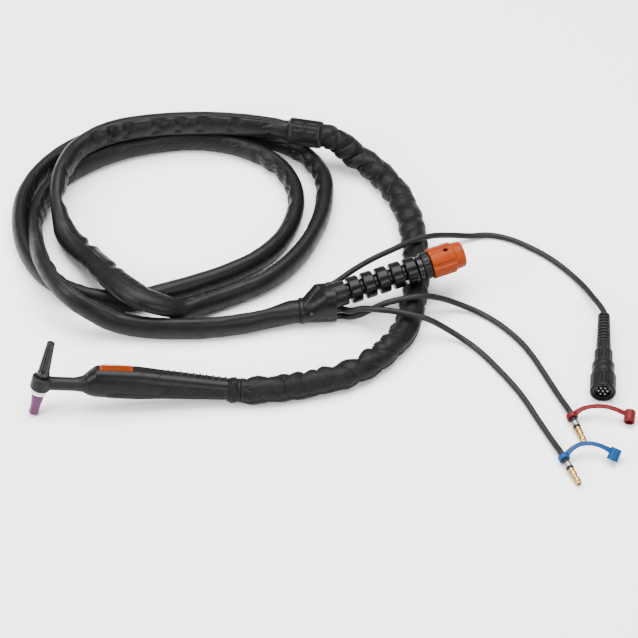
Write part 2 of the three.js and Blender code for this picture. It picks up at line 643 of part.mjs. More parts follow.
function bendRelief() {
  const outline = [[CUFF_END + GAP, 4], [CUFF_END + GAP, RIB_CORE_R]];
  for (let i = 0; i < RIB_COUNT; i += 1) {
    const front = RIB_FIRST + i * RIB_PITCH - RIB_LENGTH / 2;
    const rear = front + RIB_LENGTH;
    outline.push(
      [front, RIB_CORE_R], [front + 0.3, RIB_R - 1.2], [front + 1.6, RIB_R],
      [rear - 1.6, RIB_R], [rear - 0.3, RIB_R - 1.2], [rear, RIB_CORE_R],
    );
  }
  const end = RIB_FIRST + (RIB_COUNT - 1) * RIB_PITCH + RIB_LENGTH / 2 + 1.2;
  outline.push([end, RIB_CORE_R], [end, 4]);
  return { body: turned(outline, 'x', 20), end };
}

function protectiveCap() {
  const step = CAP_START + 30;
  const shell = turned([
    [CAP_START, 13.6], [CAP_START, CAP_R - 0.8], [CAP_START + 0.8, CAP_R], [step - 1, CAP_R],
    [step, CAP_R - 2], [CAP_END - 2, CAP_R - 3], [CAP_END, CAP_R - 5], [CAP_END, 0],
    [CAP_END - 3, 0], [CAP_END - 3, 13.6],
  ], 'x', 24);
  let cap = shell;
  const lobes = 6;
  for (let i = 0; i < lobes; i += 1) {
    const flute = rod(3.4, CAP_START - 2, step + 0.5, 'x', 16).translate([0, CAP_R + 1.7, 0]);
    cap = cap.subtract(flute.rotate([(360 * (i + 0.5)) / lobes, 0, 0]));
  }
  const hole = rod(2.6, 0, 30, 'z', 12).translate([CAP_START + 21, 0, 0]).rotate([25, 0, 0]);
  return cap.subtract(hole);
}

function buildPower() {
  const relief = bendRelief();
  add(power, 'bend_relief', relief.body, 'blackRubber');
  const bodyStart = relief.end + GAP;
  const ringStart = bodyStart + 6;
  add(power, 'plug_body', turned([
    [bodyStart, 0], [bodyStart, 14.6], [ringStart - GAP, 14.6], [ringStart - GAP, 12.4],
    [CAP_START + 6, 12.4], [CAP_START + 7, 11.6], [CAP_START + 26, 11.6], [CAP_START + 26, 7.4],
    [CAP_START + 10, 7.4], [CAP_START + 10, 0],
  ], 'x', 24), 'blackMoulding');
  add(power, 'plug_ring', turned([
    [ringStart, 12.7], [ringStart, 15.8], [ringStart + 1.2, 17], [CAP_START - 1.6, 17],
    [CAP_START - GAP, 16], [CAP_START - GAP, 12.7],
  ], 'x', 24), 'blackMoulding');
  add(power, 'plug_contact', turned([
    [CAP_START + 10 + GAP, 0], [CAP_START + 10 + GAP, 5.4], [CAP_START + 32, 5.4],
    [CAP_START + 34, 4.2], [CAP_START + 34, 0],
  ], 'x', 16), 'brass');
  add(power, 'protective_cap', protectiveCap(), 'orange');
}

// ---------------------------------------------------------------- control connector

function buildControl() {
  const { boot, shell, body, coupling } = BODY_LENGTHS;
  const bellows = 8;
  const pitch = (boot - 4) / bellows;
  const outline = [[0, 0], [0, 5.6]];
  for (let i = 0; i < bellows; i += 1) {
    const start = 1 + i * pitch;
    const grow = 0.14 * i;
    outline.push(
      [start + 0.6, 7.3 + grow], [start + pitch - 1.7, 7.3 + grow], [start + pitch - 0.4, 6.2 + grow],
    );
  }
  outline.push([boot - 2.4, 8.6], [boot, 8.6], [boot, 0]);
  add(control, 'control_boot', turned(outline, 'x', 16), 'blackRubber');
  add(control, 'control_backshell', turned([
    [boot + GAP, 0], [boot + GAP, 8.2], [boot + 1.5, 9.2], [boot + 12, 9.2], [boot + 14, 11.2],
    [shell - 1, 11.2], [shell - GAP, 10.2], [shell - GAP, 0],
  ], 'x', 12), 'blackMoulding');
  add(control, 'control_body', turned([
    [shell, 0], [shell, 12.4], [shell + 1.4, 13.7], [body - 1.5, 13.7], [body - 1.5, 12.2],
    [coupling - 9, 12.2], [coupling - 9, 0],
  ], 'x', 24), 'blackMoulding');
  let ring = turned([
    [body, 12.6], [body, 14.6], [body + 1, COUPLING_R], [coupling - 1, COUPLING_R],
    [coupling, COUPLING_R - 1], [coupling, 12.6],
  ], 'x', 24);
  const knurls = 16;
  for (let i = 0; i < knurls; i += 1) {
    const groove = rod(1, body + 3, coupling - 3.5, 'x', 8).translate([0, COUPLING_R + 0.35, 0]);
    ring = ring.subtract(groove.rotate([(360 * i) / knurls, 0, 0]));
  }
  add(control, 'coupling_ring', ring, 'blackMoulding');
  const insertFront = coupling - 2;
  const bores = [];
  for (const [row, count] of [[4.6, 2], [0, 3], [-4.6, 2]]) {
    for (let i = 0; i < count; i += 1) bores.push([(i - (count - 1) / 2) * 5, row]);
  }
  let shellRing = pipe(12.1, 10.6, coupling - 9 + GAP, insertFront, 'x', 24);
  shellRing = shellRing.add(rod(11, coupling - 9 + GAP, coupling - 7, 'x', 24));
  add(control, 'control_insert', shellRing, 'blackMoulding');
  let pins = rod(9.8, coupling - 7 + GAP, coupling - 6, 'x', 16);
  bores.forEach(([y, z]) => {
    pins = pins.add(rod(0.9, coupling - 6.4, coupling - 2.6, 'x', 12).translate([0, y, z]));
  });
  add(control, 'control_pins', pins, 'brass');
}

// ---------------------------------------------------------------- hose ends

function dustCap(end, strap, cap) {
  const ring = turned([
    [-3, HOSE_R + 0.5], [-3, 6.2], [-2, 7], [2, 7], [3, 6.2], [3, HOSE_R + 0.5],
  ], 'x', 16);
  const body = turned([
    [-7.4, 0], [-7.4, 5.9], [-6.6, 6.7], [7.2, 6.7], [7.8, 6.1], [7.8, 4.7], [-4.4, 4.7], [-4.4, 0],
  ], 'x', 16);
  const band = swept(strap, rectangle(7, 2.4), 12);
  const keepOut = moved(rod(HOSE_R + 0.5, -20, 20, 'x'), end).add(moved(rod(4.7, -4.4, 9, 'x'), cap));
  return moved(ring, end).add(moved(body, cap)).add(band).subtract(keepOut);
}

function buildHoseEnd(name, end, strap, cap) {
  const clampEnd = 14.5;
  const flangeEnd = 17.5;
  add(end, name + '_clamp', pipe(4.5, 2.7, HOSE_STUB + GAP, clampEnd, 'x', 16), 'steel');
  add(end, name + '_ferrule', pipe(4.8, 2.7, clampEnd + GAP, flangeEnd, 'x', 16), 'blackMoulding');
  add(end, name + '_nipple', turned([
    [HOSE_STUB + GAP, 1.2], [HOSE_STUB + GAP, 2.4], [flangeEnd + GAP, 2.4], [flangeEnd + GAP, 4.3],
    [27.5, 4.3], [28.6, 3.3], [31.6, 3.3], [32.6, 4.2], [36.5, 4.1], [38.2, 3.4],
    [NIPPLE_END, 3.4], [NIPPLE_END, 1.9], [flangeEnd + 4, 1.9], [flangeEnd + 4, 1.2],
  ], 'x', 16), 'brass');
  add(root, name + '_dust_cap', dustCap(end, strap, cap), name);
}

// ---------------------------------------------------------------- cords

// The world point at a distance along a frame's own x axis.
function along(group, x, y = 0, z = 0) {
  root.updateMatrixWorld(true);
  return group.localToWorld(new THREE.Vector3(x, y, z)).toArray();
}

function buildCords() {
  const collarEnd = HANDLE_REAR + GAP + COLLAR_LENGTH + GAP;
  const leather = [along(torch, collarEnd), along(torch, collarEnd + 8), ...LEATHER_ROUTE,
    along(joint, JOINT_HALF_LENGTH + 8), along(joint, JOINT_HALF_LENGTH + GAP)];
  add(root, 'leather_sleeve', swept(leather, ellipse(LEATHER_R, LEATHER_R, 10), 28), 'leather');
  const sheath = [along(joint, -JOINT_HALF_LENGTH - GAP), along(joint, -JOINT_HALF_LENGTH - 8),
    ...SHEATH_ROUTE, along(splitter, -8), along(splitter, -GAP)];
  const section = ellipse(SHEATH_HALF_WIDTH, SHEATH_HALF_HEIGHT, 10);
  add(root, 'hose_sheath', swept(sheath, section, 74), 'blackRubber');
  const cable = [along(controlExit, CONTROL_BOSS + GAP), along(controlExit, CONTROL_BOSS + 5),
    ...CONTROL_ROUTE, along(control, -4), along(control, -GAP)];
  add(root, 'control_cable', swept(cable, ellipse(CONTROL_R, CONTROL_R, 8), 34), 'blackRubber');
  const hoses = [['red', RED_ROUTE, RED_EXIT_Z, red], ['blue', BLUE_ROUTE, BLUE_EXIT_Z, blue]];
  for (const [name, route, exitZ, end] of hoses) {
    const start = SPLITTER_LENGTH + GAP;
    const line = [along(splitter, start, HOSE_EXIT_Y, exitZ),
      along(splitter, start + 7, HOSE_EXIT_Y, exitZ), ...route,
      along(end, -8), along(end, 0), along(end, HOSE_STUB)];
    add(root, name + '_hose', swept(line, ellipse(HOSE_R, HOSE_R, 8), 34), 'blackRubber');
  }
}

buildHead();
buildHandle();
buildJoint();
buildSplitter();
buildPower();
buildControl();
buildHoseEnd('red', red, RED_STRAP, frame([581.9, -29.1, 8.9], -99, 14.5));
buildHoseEnd('blue', blue, BLUE_STRAP, frame([559.3, -89.1, 10.2], -121, 39.6));
buildCords();

export default root;
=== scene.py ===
import json
import math
import bmesh
import bpy
import numpy as np
from mathutils import Matrix, Vector


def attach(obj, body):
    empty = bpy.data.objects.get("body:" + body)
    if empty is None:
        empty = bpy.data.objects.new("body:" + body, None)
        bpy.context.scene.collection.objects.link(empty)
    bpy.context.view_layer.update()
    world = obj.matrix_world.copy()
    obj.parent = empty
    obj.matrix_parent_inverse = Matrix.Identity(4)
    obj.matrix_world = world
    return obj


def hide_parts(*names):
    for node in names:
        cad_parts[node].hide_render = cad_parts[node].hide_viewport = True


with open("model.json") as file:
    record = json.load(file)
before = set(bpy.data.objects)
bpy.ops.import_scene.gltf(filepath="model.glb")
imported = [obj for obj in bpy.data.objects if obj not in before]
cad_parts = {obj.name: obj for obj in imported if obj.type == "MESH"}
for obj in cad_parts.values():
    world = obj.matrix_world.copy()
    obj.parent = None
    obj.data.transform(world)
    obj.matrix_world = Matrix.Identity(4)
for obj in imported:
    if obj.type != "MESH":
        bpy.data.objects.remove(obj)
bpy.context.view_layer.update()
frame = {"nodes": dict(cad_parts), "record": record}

# Shapes are worked out in millimetres in the object's own frame and stored in metres.
MM = 0.001
GAP = 0.3
TAU = 2 * math.pi
rad = math.radians

# ---------------------------------------------------------------- camera, floor and light

AIM = Vector((0.2169, 0.1387, 0.0))
ELEVATION = 46.0
DISTANCE = 3.3
FOCAL_LENGTH, SENSOR_WIDTH = 152.6, 36.0
SKY_STRENGTH = 0.75


def aimed(data, name, position, target):
    holder = bpy.data.objects.new(name, data)
    holder.location = position
    holder.rotation_euler = (Vector(target) - Vector(position)).to_track_quat("-Z", "Y").to_euler()
    bpy.context.scene.collection.objects.link(holder)
    return holder


lens = bpy.data.cameras.new("camera")
lens.lens = FOCAL_LENGTH
lens.sensor_width = SENSOR_WIDTH
lens.clip_end = 20.0
eye = AIM + DISTANCE * Vector((0, -math.cos(rad(ELEVATION)), math.sin(rad(ELEVATION))))
bpy.context.scene.camera = aimed(lens, "camera", eye, AIM)


def area_light(name, position, target, size, watts):
    data = bpy.data.lights.new(name, "AREA")
    data.shape = "RECTANGLE"
    data.size, data.size_y = size
    data.energy = watts
    return aimed(data, name, position, target)


area_light("overhead_light", (0.2, 0.6, 2.4), (0.22, 0.15, 0), (2.8, 2.0), 250)
area_light("left_light", (-1.9, -0.7, 1.5), (0.1, 0.1, 0), (1.4, 1.4), 95)
area_light("front_light", (1.3, -2.2, 1.4), (0.25, 0.1, 0), (1.8, 1.0), 70)

world = bpy.data.worlds.new("studio")
world.use_nodes = True
world.node_tree.nodes["Background"].inputs["Color"].default_value = (1.0, 1.0, 1.0, 1)
world.node_tree.nodes["Background"].inputs["Strength"].default_value = SKY_STRENGTH
bpy.context.scene.world = world

# ---------------------------------------------------------------- materials


class Look:
    """A material built from noise in the object's own coordinates."""

    def __init__(self, name, roughness, metallic=0.0):
        self.material = bpy.data.materials.new(name)
        self.material.use_nodes = True
        self.tree = self.material.node_tree
        self.shader = self.tree.nodes["Principled BSDF"]
        self.shader.inputs["Metallic"].default_value = metallic
        self.shader.inputs["Roughness"].default_value = roughness
        self.place = self.tree.nodes.new("ShaderNodeTexCoord")
        self.normal = None

    def node(self, kind, **values):
        made = self.tree.nodes.new(kind)
        for key, value in values.items():
            setattr(made, key, value)
        return made

    def link(self, source, target):
        self.tree.links.new(source, target)

    def noise(self, size_mm, detail=3.0, roughness=0.55, stretch=(1, 1, 1)):
        made = self.node("ShaderNodeTexNoise")
        made.inputs["Scale"].default_value = 1 / (size_mm * MM)
        made.inputs["Detail"].default_value = detail
        made.inputs["Roughness"].default_value = roughness
        mapping = self.node("ShaderNodeMapping")
        mapping.inputs["Scale"].default_value = stretch
        self.link(self.place.outputs["Object"], mapping.inputs["Vector"])
        self.link(mapping.outputs["Vector"], made.inputs["Vector"])
        return made.outputs["Fac"]

    def cells(self, size_mm):
        made = self.node("ShaderNodeTexVoronoi", feature="DISTANCE_TO_EDGE")
        made.inputs["Scale"].default_value = 1 / (size_mm * MM)
        self.link(self.place.outputs["Object"], made.inputs["Vector"])
        return made.outputs["Distance"]

    def spread(self, value, low, high, from_low=0.3, from_high=0.7):
        made = self.node("ShaderNodeMapRange")
        made.inputs["From Min"].default_value = from_low
        made.inputs["From Max"].default_value = from_high
        made.inputs["To Min"].default_value = low
        made.inputs["To Max"].default_value = high
        self.link(value, made.inputs["Value"])
        return made.outputs["Result"]

    def mix(self, factor, first, second):
        made = self.node("ShaderNodeMix", data_type="RGBA")
        colours = [s for s in made.inputs if s.type == "RGBA"]
        for socket, colour in zip(colours, (first, second)):
            if isinstance(colour, tuple):
                socket.default_value = (*colour, 1)
            else:
                self.link(colour, socket)
        self.link(factor, made.inputs[0])
        return [s for s in made.outputs if s.type == "RGBA"][0]

    def colour(self, value):
        self.link(value, self.shader.inputs["Base Color"])

    def uneven(self, value, low, high):
        """Roughness that varies between two values."""
        self.link(self.spread(value, low, high), self.shader.inputs["Roughness"])

    def bump(self, height, depth_mm, strength=1.0):
        made = self.node("ShaderNodeBump")
        made.inputs["Strength"].default_value = strength
        made.inputs["Distance"].default_value = depth_mm * MM
        self.link(height, made.inputs["Height"])
        if self.normal is not None:
            self.link(self.normal, made.inputs["Normal"])
        self.normal = made.outputs["Normal"]
        self.link(self.normal, self.shader.inputs["Normal"])

    def weave(self, pitch_mm):
        """Crossed threads that follow a sleeve, from its own along and around coordinates."""
        coordinates = self.node("ShaderNodeAttribute", attribute_name="lay")
        split = self.node("ShaderNodeSeparateXYZ")
        self.link(coordinates.outputs["Vector"], split.inputs["Vector"])
        waves = []
        for axis in ("X", "Y"):
            scaled = self.node("ShaderNodeMath", operation="MULTIPLY")
            scaled.inputs[1].default_value = math.pi / (pitch_mm * MM)
            self.link(split.outputs[axis], scaled.inputs[0])
            sine = self.node("ShaderNodeMath", operation="SINE")
            self.link(scaled.outputs[0], sine.inputs[0])
            waves.append(sine)
        product = self.node("ShaderNodeMath", operation="MULTIPLY")
        self.link(waves[0].outputs[0], product.inputs[0])
        self.link(waves[1].outputs[0], product.inputs[1])
        return product.outputs[0]

    def edges(self, low=0.5, high=0.56):
        sharp = self.node("ShaderNodeNewGeometry")
        return self.spread(sharp.outputs["Pointiness"], 0.0, 1.0, low, high)


def moulded(name, colour, roughness, grain_mm=0.7, grain_depth=0.02, mottle=0.18, wear=0.25,
            spread=0.08, shine=0.16):
    """Moulded plastic or rubber: fine texture, slight clouding and lighter rubbed edges."""
    look = Look(name, roughness)
    clouds = look.spread(look.noise(14, 4), 0, 1)
    darker = tuple(c * (1 - mottle) for c in colour)
    lighter = tuple(min(1, c * (1 + mottle) + 0.002) for c in colour)
    body = look.mix(clouds, darker, lighter)
    if wear:
        rubbed = tuple(min(1, c * 1.7 + 0.02) for c in colour)
        body = look.mix(look.spread(look.edges(), 0, wear, 0, 1), body, rubbed)
    look.colour(body)
    look.uneven(look.noise(5, 3), roughness - spread, roughness + spread)
    look.bump(look.noise(grain_mm, 2), grain_depth)
    look.shader.inputs["Specular IOR Level"].default_value = shine
    return look.material


def machined(name, colour, roughness):
    """Turned or plated metal: fine streaks and clouded polish."""
    streak = (1, 1, 9)
    look = Look(name, roughness, 1.0)
    clouds = look.spread(look.noise(6, 4), 0, 1)
    look.colour(look.mix(clouds, tuple(c * 0.82 for c in colour), tuple(min(1, c * 1.1) for c in colour)))
    look.uneven(look.noise(0.6, 2, stretch=streak), roughness * 0.7, roughness * 1.5)
    look.bump(look.noise(0.5, 2, stretch=streak), 0.01)
    return look.material


def sheath_look():
    look = Look("sheath_fabric", 0.42)
    look.shader.inputs["Specular IOR Level"].default_value = 0.12
    clouds = look.spread(look.noise(30, 5), 0, 1)
    body = look.mix(clouds, (0.002, 0.002, 0.0024), (0.004, 0.004, 0.0046))
    body = look.mix(look.spread(look.noise(2.2, 3), 0, 0.35), body, (0.007, 0.007, 0.0078))
    look.colour(body)
    look.uneven(look.noise(9, 4), 0.33, 0.5)
    look.bump(look.noise(11, 4, 0.6), 0.9, 0.45)
    look.bump(look.weave(0.9), 0.035, 0.6)
    return look.material


def leather_look():
    look = Look("sleeve_leather", 0.5)
    look.shader.inputs["Specular IOR Level"].default_value = 0.1
    clouds = look.spread(look.noise(18, 5), 0, 1)
    body = look.mix(clouds, (0.0018, 0.0018, 0.002), (0.0045, 0.0045, 0.005))
    body = look.mix(look.spread(look.edges(0.505, 0.56), 0, 0.5, 0, 1), body, (0.012, 0.012, 0.013))
    look.colour(body)
    look.uneven(look.noise(4, 4), 0.4, 0.62)
    look.bump(look.noise(6, 5, 0.65), 0.9, 0.6)
    look.bump(look.cells(1.3), 0.12, 0.5)
    return look.material


def ceramic_look():
    look = Look("ceramic", 0.32)
    clouds = look.spread(look.noise(5, 4), 0, 1)
    body = look.mix(clouds, (0.056, 0.011, 0.045), (0.072, 0.017, 0.06))
    body = look.mix(look.spread(look.noise(0.8, 2), 0, 0.3, 0.55, 0.75), body, (0.045, 0.014, 0.036))
    look.colour(body)
    look.uneven(look.noise(2, 3), 0.25, 0.42)
    look.bump(look.noise(0.6, 2), 0.015)
    look.shader.inputs["Specular IOR Level"].default_value = 0.22
    return look.material


LOOKS = {
    "black_moulding": moulded("black_moulding", (0.002, 0.002, 0.0023), 0.36, wear=0.2, shine=0.12),
    "black_gloss": moulded("black_gloss", (0.0015, 0.0015, 0.0018), 0.18, grain_depth=0.006, spread=0.04,
                           shine=0.25),
    "black_rubber": moulded("black_rubber", (0.0028, 0.0028, 0.003), 0.46, grain_depth=0.03),
    "relief_rubber": moulded("relief_rubber", (0.0015, 0.0015, 0.0017), 0.25, grain_depth=0.01, wear=0.05,
                             spread=0.05, shine=0.12),
    "sleeve_leather": leather_look(),
    "sheath_fabric": sheath_look(),
    "orange_plastic": moulded("orange_plastic", (0.17, 0.021, 0.0001), 0.42, mottle=0.06, wear=0.0,
                              shine=0.08),
    "ceramic": ceramic_look(),
    "white_ptfe": moulded("white_ptfe", (0.62, 0.62, 0.6), 0.35, mottle=0.04, wear=0.0),
    "brass": machined("brass", (0.33, 0.2, 0.065), 0.24),
    "copper": machined("copper", (0.80, 0.45, 0.28), 0.28),
    "steel": machined("steel", (0.24, 0.245, 0.25), 0.26),
    "dark_steel": machined("dark_steel", (0.03, 0.03, 0.033), 0.34),
    "red_rubber": moulded("red_rubber", (0.085, 0.003, 0.005), 0.42, mottle=0.08, wear=0.03, shine=0.1),
    "blue_rubber": moulded("blue_rubber", (0.001, 0.032, 0.11), 0.42, mottle=0.08, wear=0.03, shine=0.1),
}

# ---------------------------------------------------------------- places


def turned_by(yaw=0.0, pitch=0.0, roll=0.0):
    turns = [Matrix.Rotation(rad(angle), 3, axis) for angle, axis in ((yaw, "Z"), (pitch, "Y"), (roll, "X"))]
    return np.array(turns[0] @ turns[1] @ turns[2])


class Place:
    """A frame of its own, in millimetres: at a point, turned by roll, then pitch, then yaw."""

    def __init__(self, at, yaw=0.0, pitch=0.0, roll=0.0, parent=None):
        self.turn = turned_by(yaw, pitch, roll)
        self.at = np.array(at, float)
        if parent is not None:
            self.at = parent.out(self.at)
            self.turn = parent.turn @ self.turn

    def out(self, points):
        return np.asarray(points, float) @ self.turn.T + self.at


TORCH = Place((-109.1, -4.3, 40.4), 2.75, 6.15, -17.6)
HEAD = Place((0, 0, 0), 0, 10, 0, TORCH)
JOINT = Place((199.9, 422.2, 49), -11.6)
SPLITTER = Place((192.5, 135.9, 16.6), 8)
CONTROL_EXIT = Place((35, 17, 19), 24, -4, 0, SPLITTER)
POWER = Place((242.4, 146.7, 35.5), 19.2, -6.35)
CONTROL = Place((562.9, 130, 15.9), -94.8)
ENDS = {"red": Place((514.4, -28, 7.3), -72.3, 4.4), "blue": Place((500.9, -92.2, 7.3), -67.6, 4.4)}
CAPS = {"red": Place((581.9, -29.1, 8.9), -99, 14.5), "blue": Place((559.3, -89.1, 10.2), -121, 39.6)}
WORLD = Place((0, 0, 0))

# ---------------------------------------------------------------- meshes


def mesh_object(name, points, faces, place=WORLD, sharp=40):
    mesh = bpy.data.meshes.new(name)
    mesh.from_pydata((place.out(points) * MM).tolist(), [], faces)
    work = bmesh.new()
    work.from_mesh(mesh)
    bmesh.ops.recalc_face_normals(work, faces=work.faces)
    work.to_mesh(mesh)
    work.free()
    mesh.update()
    made = bpy.data.objects.new(name, mesh)
    bpy.context.scene.collection.objects.link(made)
    smoothed(made, sharp)
    return made


def smoothed(made, sharp=40):
    made.data.shade_smooth()
    made.data.set_sharp_from_angle(angle=rad(sharp))


def grid_faces(rows, columns, wrap_rows=False):
    r, c = np.meshgrid(np.arange(rows if wrap_rows else rows - 1), np.arange(columns), indexing="ij")
    r2, c2 = (r + 1) % rows, (c + 1) % columns
    quads = np.stack([r * columns + c, r * columns + c2, r2 * columns + c2, r2 * columns + c], -1)
    return quads.reshape(-1, 4).tolist()


def end_fans(rows, columns):
    """Triangles that close the first and last ring of a grid, each about a point after the grid's own."""
    return [[base + i, base + (i + 1) % columns, rows * columns + end]
            for end, base in enumerate((0, (rows - 1) * columns)) for i in range(columns)]


def tube_mesh(name, rings, place=WORLD, sharp=40, closed=False):
    """A surface through rings of points, an array of rows x columns x 3, with both ends closed."""
    rows, columns = rings.shape[:2]
    points = rings.reshape(-1, 3)
    faces = grid_faces(rows, columns, wrap_rows=closed)
    if not closed:
        middles = np.array([rings[0].mean(0), rings[-1].mean(0)])
        points = np.concatenate([points, middles])
        faces += end_fans(rows, columns)
    return mesh_object(name, points, faces, place, sharp)


def rounded(profile, radius, closed=False, steps=4):
    """A profile with its corners rounded."""
    points = [np.array(p, float) for p in profile]
    count = len(points)
    out = []
    for i, here in enumerate(points):
        if not closed and i in (0, count - 1):
            out.append(here)
            continue
        before, after = points[i - 1], points[(i + 1) % count]
        reach = min(radius, 0.45 * np.linalg.norm(before - here), 0.45 * np.linalg.norm(after - here))
        first = here + (before - here) / max(np.linalg.norm(before - here), 1e-6) * reach
        last = here + (after - here) / max(np.linalg.norm(after - here), 1e-6) * reach
        for t in np.linspace(0, 1, steps):
            out.append((1 - t) ** 2 * first + 2 * t * (1 - t) * here + t**2 * last)
    return np.array(out)


def finer(profile, step, closed=False):
    """A profile with points added so that none is further than step from the next."""
    points = np.array(profile, float)
    ends = np.roll(points, -1, 0) if closed else points[1:]
    out = []
    for a, b in zip(points, ends):
        count = max(1, int(np.ceil(np.linalg.norm(b - a) / step)))
        out += [a + (b - a) * k / count for k in range(count)]
    if not closed:
        out.append(points[-1])
    return np.array(out)


def lathe(name, profile, place, axis="x", around=64, radius=0.4, step=None, shape=None, sharp=40):
    """Turns a profile of (along, radius). It closes on the axis if its first radius is 0, else on itself."""
    closed = profile[0][1] > 0
    line = rounded(profile, radius, closed)
    if step:
        line = finer(line, step, closed)
    angles = np.arange(around) * TAU / around
    along = np.repeat(line[:, :1], around, 1)
    across = np.repeat(line[:, 1:], around, 1)
    turn = np.repeat(angles[None], len(line), 0)
    if shape is not None:
        across = shape(along, across, turn)
    y, z = across * np.cos(turn), across * np.sin(turn)
    rings = np.stack([along, y, z] if axis == "x" else [y, z, along], -1)
    if closed:
        return tube_mesh(name, rings, place, sharp, closed=True)
    points = np.concatenate([rings[1:-1].reshape(-1, 3), rings[0, :1], rings[-1, :1]])
    rows = len(rings) - 2
    return mesh_object(name, points, grid_faces(rows, around) + end_fans(rows, around), place, sharp)


def drum(name, start, end, radius, place, axis="x", around=24, corner=0.01):
    """A plain turned cylinder."""
    return lathe(name, [(start, 0), (start, radius), (end, radius), (end, 0)], place, axis, around, corner)


def settled(made, sharp=40):
    """Applies an object's modifiers to its mesh."""
    bpy.context.view_layer.update()
    graph = bpy.context.evaluated_depsgraph_get()
    mesh = bpy.data.meshes.new_from_object(made.evaluated_get(graph))
    made.modifiers.clear()
    old, made.data = made.data, mesh
    bpy.data.meshes.remove(old)
    smoothed(made, sharp)
    return made


def cut(made, tools, operation="DIFFERENCE", sharp=40):
    for tool in tools:
        change = made.modifiers.new("cut", "BOOLEAN")
        change.object = tool
        change.operation = operation
        change.solver = "EXACT"
    settled(made, sharp)
    for tool in tools:
        bpy.data.objects.remove(tool)
    return made


def shown_from(work, name):
    """A new object from a finished bmesh."""
    mesh = bpy.data.meshes.new(name)
    work.to_mesh(mesh)
    work.free()
    made = bpy.data.objects.new(name, mesh)
    bpy.context.scene.collection.objects.link(made)
    return made


def joined(name, parts):
    whole = bmesh.new()
    for part in parts:
        whole.from_mesh(part.data)
        bpy.data.objects.remove(part)
    return shown_from(whole, name)


def fused(name, parts, voxel, rounds=6, sharp=60):
    """Joins overlapping parts into one moulding with softened corners."""
    made = joined(name, parts)
    again = made.modifiers.new("remesh", "REMESH")
    again.mode = "VOXEL"
    again.voxel_size = voxel * MM
    soften = made.modifiers.new("soften", "SMOOTH")
    soften.iterations = rounds
    return settled(made, sharp)


def block(low, high, place):
    corners = [(x, y, z) for x in (low[0], high[0]) for y in (low[1], high[1]) for z in (low[2], high[2])]
    faces = [(0, 1, 3, 2), (4, 6, 7, 5), (0, 4, 5, 1), (2, 3, 7, 6), (0, 2, 6, 4), (1, 5, 7, 3)]
    return mesh_object("tool", np.array(corners, float), faces, place)


def slab(outline, half_width, place):
    """A flat outline in x and z, extruded across y."""
    count = len(outline)
    points = [(x, y, z) for y in (-half_width, half_width) for x, z in outline]
    faces = [list(range(count)), list(range(count, 2 * count))[::-1]]
    faces += [[i, (i + 1) % count, count + (i + 1) % count, count + i] for i in range(count)]
    return mesh_object("tool", np.array(points, float), faces, place)


def pin(radius, start, end, place, axis="x", offset=(0, 0, 0), around=24):
    there = Place(offset, 90 if axis == "y" else 0, 0, 0, place)
    return drum("tool", start, end, radius, there, "z" if axis == "z" else "x", around)


def split(made, place, axis):
    """Both halves of a body, cut through its place's own origin and a gap apart."""
    normal = Vector(place.turn[:, axis])
    halves = []
    for sign in (1, -1):
        half = made.copy()
        half.data = made.data.copy()
        bpy.context.scene.collection.objects.link(half)
        work = bmesh.new()
        work.from_mesh(half.data)
        at = Vector(place.at) * MM + normal * (sign * GAP / 2 * MM)
        found = bmesh.ops.bisect_plane(
            work, geom=work.verts[:] + work.edges[:] + work.faces[:], plane_co=at,
            plane_no=normal * sign, clear_inner=True,
        )
        rim = [e for e in found["geom_cut"] if isinstance(e, bmesh.types.BMEdge)]
        bmesh.ops.triangle_fill(work, edges=rim, use_beauty=True, use_dissolve=False)
        bmesh.ops.recalc_face_normals(work, faces=work.faces)
        work.to_mesh(half.data)
        work.free()
        smoothed(half)
        halves.append(half)
    bpy.data.objects.remove(made)
    return halves


def piece(made, slot, nodes, body="torch", name=None, look=None):
    """Gives a finished piece its name, material and body, and hides the CAD nodes it stands for."""
    if name:
        made.name = name
        made.data.name = name
    made.data.materials.clear()
    made.data.materials.append(LOOKS[look or slot])
    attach(made, body)
    if nodes:
        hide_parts(*nodes)
    return made


# ---------------------------------------------------------------- seeded noise and smooth curves


def noise(u, v, seed, wrap):
    """Smooth noise from -1 to 1. v repeats after wrap cells."""
    table = np.random.default_rng(seed).uniform(-1, 1, (1024, wrap))
    iu, iv = np.floor(u).astype(int), np.floor(v).astype(int)
    fu, fv = u - iu, v - iv
    fu, fv = fu * fu * (3 - 2 * fu), fv * fv * (3 - 2 * fv)
    a, b = table[iu % 1024, iv % wrap], table[(iu + 1) % 1024, iv % wrap]
    c, d = table[iu % 1024, (iv + 1) % wrap], table[(iu + 1) % 1024, (iv + 1) % wrap]
    return (a * (1 - fu) + b * fu) * (1 - fv) + (c * (1 - fu) + d * fu) * fv


def bell(x, centre, width):
    return np.exp(-(((x - centre) / width) ** 2))


def between(x, low, high, soft):
    """1 between low and high, falling to 0 over soft at each end."""
    rise = np.clip((x - low) / soft + 0.5, 0, 1)
    fall = np.clip((high - x) / soft + 0.5, 0, 1)
    return (rise * rise * (3 - 2 * rise)) * (fall * fall * (3 - 2 * fall))


def turn_gap(angle, centre):
    """Signed angle from a centre, in radians, -pi to pi."""
    return (angle - centre + math.pi) % TAU - math.pi


